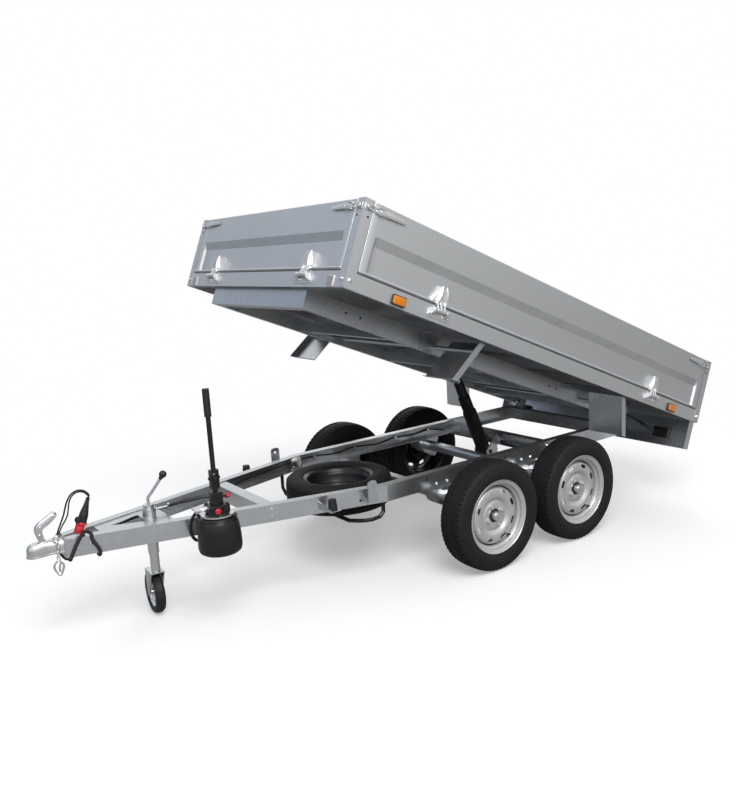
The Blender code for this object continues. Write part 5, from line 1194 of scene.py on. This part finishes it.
def rim_shell(settings):
    """Turned wheel: disc with a raised ring, dished hub and rolled flanges; the slots are cut by
    rounded bars and the result kept as a mesh."""
    length, width = 0.042, 0.018
    turn = np.linspace(-math.pi / 2, math.pi / 2, 9)
    half = np.stack([(length - width) / 2 + width / 2 * np.cos(turn), width / 2 * np.sin(turn)], -1)
    bar, faces = pad(np.concatenate([half, -half]), 0.025, 0.055, 0.0)
    bars = []
    for angle in ring(settings.slots, math.pi / settings.slots):
        c, s, out = math.cos(angle), math.sin(angle), settings.slot_circle - bar[:, 1]
        bars.append((np.stack([out * c - bar[:, 0] * s, out * s + bar[:, 0] * c, bar[:, 2]], -1), faces))
    disc = in_scene("wheel", mesh_of("wheel", [lathe(WHEEL_SECTION, 96, closed=True)], 1e-6))
    slots = in_scene("slots", mesh_of("slots", bars, 1e-6))
    mod = disc.modifiers.new("slots", "BOOLEAN")
    mod.operation, mod.object, mod.solver = "DIFFERENCE", slots, "EXACT"
    bpy.context.view_layer.update()
    result = bpy.data.meshes.new_from_object(disc.evaluated_get(bpy.context.evaluated_depsgraph_get()))
    co = np.empty(len(result.vertices) * 3)
    result.vertices.foreach_get("co", co)
    shell = co.reshape(-1, 3), [list(p.vertices) for p in result.polygons]
    for obj in (disc, slots):
        bpy.data.objects.remove(obj, do_unlink=True)
    return shell


def mark_shaded_inside(mesh, centre, out):
    """Mark the faces of a wheel that lie behind its disc and don't look outwards: the silver finish paints
    them nearly black as shade.
    """
    place, way = np.empty(len(mesh.polygons) * 3), np.empty(len(mesh.polygons) * 3)
    mesh.polygons.foreach_get("center", place)
    mesh.polygons.foreach_get("normal", way)
    depth = (place.reshape(-1, 3) - centre) @ out
    looks = way.reshape(-1, 3) @ out
    inside = np.where((depth < 0.0225) & (looks < 0.55) | (depth < 0.039) & (looks < -0.5), 1.0, 0.0)
    mesh.attributes.new("inside", "FLOAT", "FACE").data.foreach_set("value", inside)


def make_wheels(tyre, rim):
    """Four road wheels with nuts, hub, cap and valve, and the spare without them."""
    shell = rim_shell(rim)
    nut = lathe([(0.0020, 0.0135), (0.0075, 0.0135), (0.0090, 0.0120), (0.0095, 0.0020), (0.0125, 0.0),
                 (0.0125, -0.001)], 6)
    seat = lathe([(0.0120, 0.0022), (0.0150, 0.0010), (0.0165, -0.0005)], 20)
    cap = lathe([(0.0010, 0.0560), (0.0120, 0.0556), (0.0180, 0.0535), (0.0212, 0.0490), (0.0222, 0.0400),
                 (0.0222, 0.0100)], 40)
    hub = lathe([(0.0223, 0.0290), (0.0300, 0.0290), (0.0335, 0.0270), (0.0340, 0.0248), (0.0640, 0.0240),
                 (0.0660, 0.0220), (0.0660, 0.0130), (0.0460, 0.0110), (0.0440, -0.0380), (0.0400, -0.0395),
                 (0.0190, -0.0395)], 48)
    stem = lathe([(0.0010, 0.030), (0.0034, 0.029), (0.0036, 0.020), (0.0044, 0.019), (0.0048, 0.004),
                  (0.0060, 0.0)], 14)
    for where in ("front", "rear"):
        for side, s in SIDES:
            key = "{}_{}".format(where, side)
            centre, out = np.array(JOINTS["wheel_{}_spin".format(key)]["pos_m"]), (0, s, 0)
            body = "wheel_" + key
            make_tyre("tread_" + key, centre, out, body, "tyre_" + key, tyre)
            fittings = [moved(shell, centre, out)]
            for angle in ring(4, 0.4):
                place = centre + np.array([0.049 * math.cos(angle), s * 0.0302, 0.049 * math.sin(angle)])
                fittings += [moved(nut, place, out), moved(seat, place, out)]
            pressing = piece("wheel_" + key + "_pressing", fittings, "silver", body, "rim_" + key, 38)
            # painted shade: the faces behind the disc are marked to be painted nearly black
            mark_shaded_inside(pressing.data, centre, np.array(out, float))
            piece("grease_cap_" + key, [moved(cap, centre, out)], "zinc", body)
            x, z = math.cos(1.0), math.sin(-0.9)
            valve = moved(stem, centre + np.array([0.150 * x, s * 0.030, 0.150 * z]),
                          (-0.35 * x, s, -0.35 * z))
            piece("hub_" + key, [moved(hub, centre, out), valve], "black_paint", body)
    centre = np.mean(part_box("spare_tyre"), axis=0)
    make_tyre("tread_spare", centre, (0, 0, -1), "chassis", "spare_tyre", tyre)
    piece("spare_pressing", [moved(shell, centre, (0, 0, -1))], "black_paint", "chassis", "spare_rim", 38)


# Floor, light and camera
CAMERA_AT = (-2.92224, -3.35668, 1.58971)
CAMERA_RIGHT, CAMERA_UP = (0.80742867, -0.58699144, -0.05916078), (0.15748024, 0.11780181, 0.98047066)
CAMERA_LOOK = (0.56855864, 0.80097677, -0.18755611)
WHITE = (1, 1, 1, 1)


def fade(tree, value, start, end, low, high):
    """A value that eases from low to high while another goes from start to end."""
    return ramp(tree, value, low, high, start, end, "SMOOTHSTEP")


def seen_rays(tree):
    """1 on the rays that the camera sees by, straight or through glass, and 1 on mirrored rays."""
    rays = wire(tree, "LightPath").outputs
    return calc(tree, "MAXIMUM", rays["Is Camera Ray"], rays["Is Transmission Ray"]), rays["Is Glossy Ray"]


def show(tree, factor, first, second, output):
    """Lead a mix of two shaders to the output."""
    mix = wire(tree, "MixShader")
    for socket, value in zip(mix.inputs, (factor, first.outputs[0], second.outputs[0])):
        feed(tree, socket, value)
    tree.links.new(mix.outputs[0], wire(tree, output).inputs[0])


def empty_tree(owner):
    """The node tree of a world or a material, emptied."""
    owner.use_nodes = True
    owner.node_tree.nodes.clear()
    return owner.node_tree


def make_world(settings):
    """Light from all round, bluish to the front right.  Mirrored rays find it uneven, and the
    camera itself sees white."""
    world = bpy.data.worlds.new("studio")
    bpy.context.scene.world = world
    tree = empty_tree(world)
    x, y, z = wire(tree, "SeparateXYZ", vector=wire(tree, "TexCoord").outputs["Generated"]).outputs
    even = fade(tree, z, -0.3, 0.9, settings.sky * 0.45, settings.sky * 1.35)
    seen = calc(tree, "MULTIPLY", fade(tree, z, -0.12, 0.50, 0.76, 1.14),
                fade(tree, x, -0.2, 0.9, 1.02, 0.80))
    ahead = calc(tree, "MULTIPLY", fade(tree, x, -0.55, 0.0, 1.0, 0.0), fade(tree, y, 0.1, 0.8, 0.0, 1.0))
    seen = calc(tree, "MULTIPLY", seen, calc(tree, "SUBTRACT", 1.0, calc(tree, "MULTIPLY", ahead, 0.60)))
    shown, mirrored = seen_rays(tree)
    strength = weighted(tree, (mirrored, seen), (calc(tree, "SUBTRACT", 1.0, mirrored), even))
    blue = mix_colour(tree, ahead, (0.98, 0.99, 1.0, 1), (0.62, 0.77, 1.0, 1))
    lit = wire(tree, "Background", strength=strength, color=blue)
    show(tree, shown, lit, wire(tree, "Background", color=WHITE), "OutputWorld")


def make_floor(settings):
    """Pale floor that keeps the shadow and fades to white far out."""
    points, faces = lathe([(0.001, 0.0), (1.5, 0.0), (4.0, 0.0), (9.0, 0.0), (40.0, 0.0)], caps=False)
    mesh = bpy.data.meshes.new("floor")
    mesh.from_pydata((points - [0, 0, 0.0006]).tolist(), [], faces)
    floor = in_scene("floor", mesh)
    material = bpy.data.materials.new("pale_floor")
    tree = empty_tree(material)
    far = wire(tree, "VectorMath", operation="LENGTH")
    feed(tree, far.inputs[0], wire(tree, "TexCoord").outputs["Object"])
    shown, _ = seen_rays(tree)
    white = calc(tree, "MULTIPLY", shown, fade(tree, far.outputs["Value"], 1.9, 3.6, 0.30, 1.0))
    pale = mix_colour(tree, shown, (0.34, 0.34, 0.34, 1), (*settings.floor_colour, 1))
    diffuse = wire(tree, "BsdfDiffuse", color=pale)
    show(tree, white, diffuse, wire(tree, "Emission", color=WHITE), "OutputMaterial")
    floor.data.materials.append(material)


def make_stage(settings):
    """Floor, light and camera."""
    scene = bpy.context.scene
    scene.view_settings.view_transform = "Standard"
    make_world(settings)
    make_floor(settings)
    lamps = (("key", (-1.9, -4.4, 5.2), (0, 0, 0.6), 4.5, settings.key),
             ("fill", (3.8, 3.4, 4.6), (0.2, 0, 0.6), 4.0, settings.fill))
    for name, place, target, size, strength in lamps:
        lamp = bpy.data.lights.new(name, "AREA")
        lamp.shape, lamp.size, lamp.energy = "DISK", size, strength
        back = unit(place - np.array(target, float))
        right = unit(np.cross([0, 0, 1], back))
        place_with_axes(in_scene(name, lamp), place, right, np.cross(back, right), back)
    lens = bpy.data.cameras.new("camera")
    lens.sensor_fit, lens.sensor_width, lens.lens = "HORIZONTAL", 36.0, settings.lens
    scene.camera = in_scene("camera", lens)
    place_with_axes(scene.camera, chassis(CAMERA_AT), CAMERA_RIGHT, CAMERA_UP, -np.array(CAMERA_LOOK))


def place_with_axes(obj, place, right, up, back):
    """Put an object at a place with its X, Y and Z along three directions."""
    turn = Matrix([[right[i], up[i], back[i]] for i in range(3)])
    obj.matrix_world = Matrix.Translation(place) @ turn.to_4x4()


# Operators
class TRAILER_OT_stage(Operator):
    """Set up the floor, the light and the camera"""
    bl_idname = "trailer.stage"
    bl_label = "Stage"

    def execute(self, context):
        make_stage(context.scene.trailer_stage)
        return {"FINISHED"}


class TRAILER_OT_finishes(Operator):
    """Make the finishes and give them to the solids that stay"""
    bl_idname = "trailer.finishes"
    bl_label = "Finishes"

    def execute(self, context):
        make_finishes(context.scene.trailer_steel)
        finish_solids()
        return {"FINISHED"}


class TRAILER_OT_cable(Operator):
    """Make the lead with its plug, the fixed lead and the safety chain"""
    bl_idname = "trailer.cable"
    bl_label = "Lead and chain"

    def execute(self, context):
        make_cable(context.scene.trailer_cable)
        make_fixed_lead()
        make_chain()
        return {"FINISHED"}


class TRAILER_OT_details(Operator):
    """Make the coupling, the pump's fine shapes, the lamps and the bolts"""
    bl_idname = "trailer.details"
    bl_label = "Coupling, pump, lamps"

    def execute(self, context):
        make_coupling()
        make_handle()
        make_pump()
        make_lamps()
        make_bolts()
        return {"FINISHED"}


class TRAILER_OT_boards(Operator):
    """Make the four drop sides with their hinges and latches"""
    bl_idname = "trailer.boards"
    bl_label = "Drop sides"

    def execute(self, context):
        make_boards(context.scene.trailer_boards)
        return {"FINISHED"}


class TRAILER_OT_wheels(Operator):
    """Make the tyres, pressed wheels and hubs"""
    bl_idname = "trailer.wheels"
    bl_label = "Wheels"

    def execute(self, context):
        make_wheels(context.scene.trailer_tyre, context.scene.trailer_rim)
        return {"FINISHED"}


class TRAILER_PT_panel(Panel):
    """Pieces of the trailer"""
    bl_idname = "TRAILER_PT_panel"
    bl_label = "Trailer"
    bl_space_type = "VIEW_3D"
    bl_region_type = "UI"
    bl_category = "Trailer"

    def draw(self, context):
        for operator in OPERATORS:
            self.layout.operator(operator.bl_idname)
        for attribute, _ in SETTINGS:
            box = self.layout.box()
            settings = getattr(context.scene, attribute)
            for key in settings.bl_rna.properties.keys():
                if key not in {"rna_type", "name"}:
                    box.prop(settings, key)


SETTINGS = (("trailer_stage", StageSettings), ("trailer_steel", SteelSettings),
            ("trailer_cable", CableSettings),
            ("trailer_boards", BoardSettings), ("trailer_tyre", TyreSettings), ("trailer_rim", RimSettings))
OPERATORS = (TRAILER_OT_stage, TRAILER_OT_finishes, TRAILER_OT_cable, TRAILER_OT_boards, TRAILER_OT_wheels,
             TRAILER_OT_details)


def register():
    """Register the settings, the operators and the panel."""
    for attribute, cls in SETTINGS:
        bpy.utils.register_class(cls)
        setattr(bpy.types.Scene, attribute, PointerProperty(type=cls))
    for cls in OPERATORS + (TRAILER_PT_panel,):
        bpy.utils.register_class(cls)


def unregister():
    """Take the classes back out, the last one first."""
    for cls in (TRAILER_PT_panel,) + OPERATORS[::-1]:
        bpy.utils.unregister_class(cls)
    for attribute, cls in SETTINGS[::-1]:
        delattr(bpy.types.Scene, attribute)
        bpy.utils.unregister_class(cls)


def main():
    """Run every operator."""
    register()
    for operator in OPERATORS:
        area, name = operator.bl_idname.split(".")
        getattr(getattr(bpy.ops, area), name)()
    bpy.context.view_layer.update()


if __name__ == "__main__":
    main()
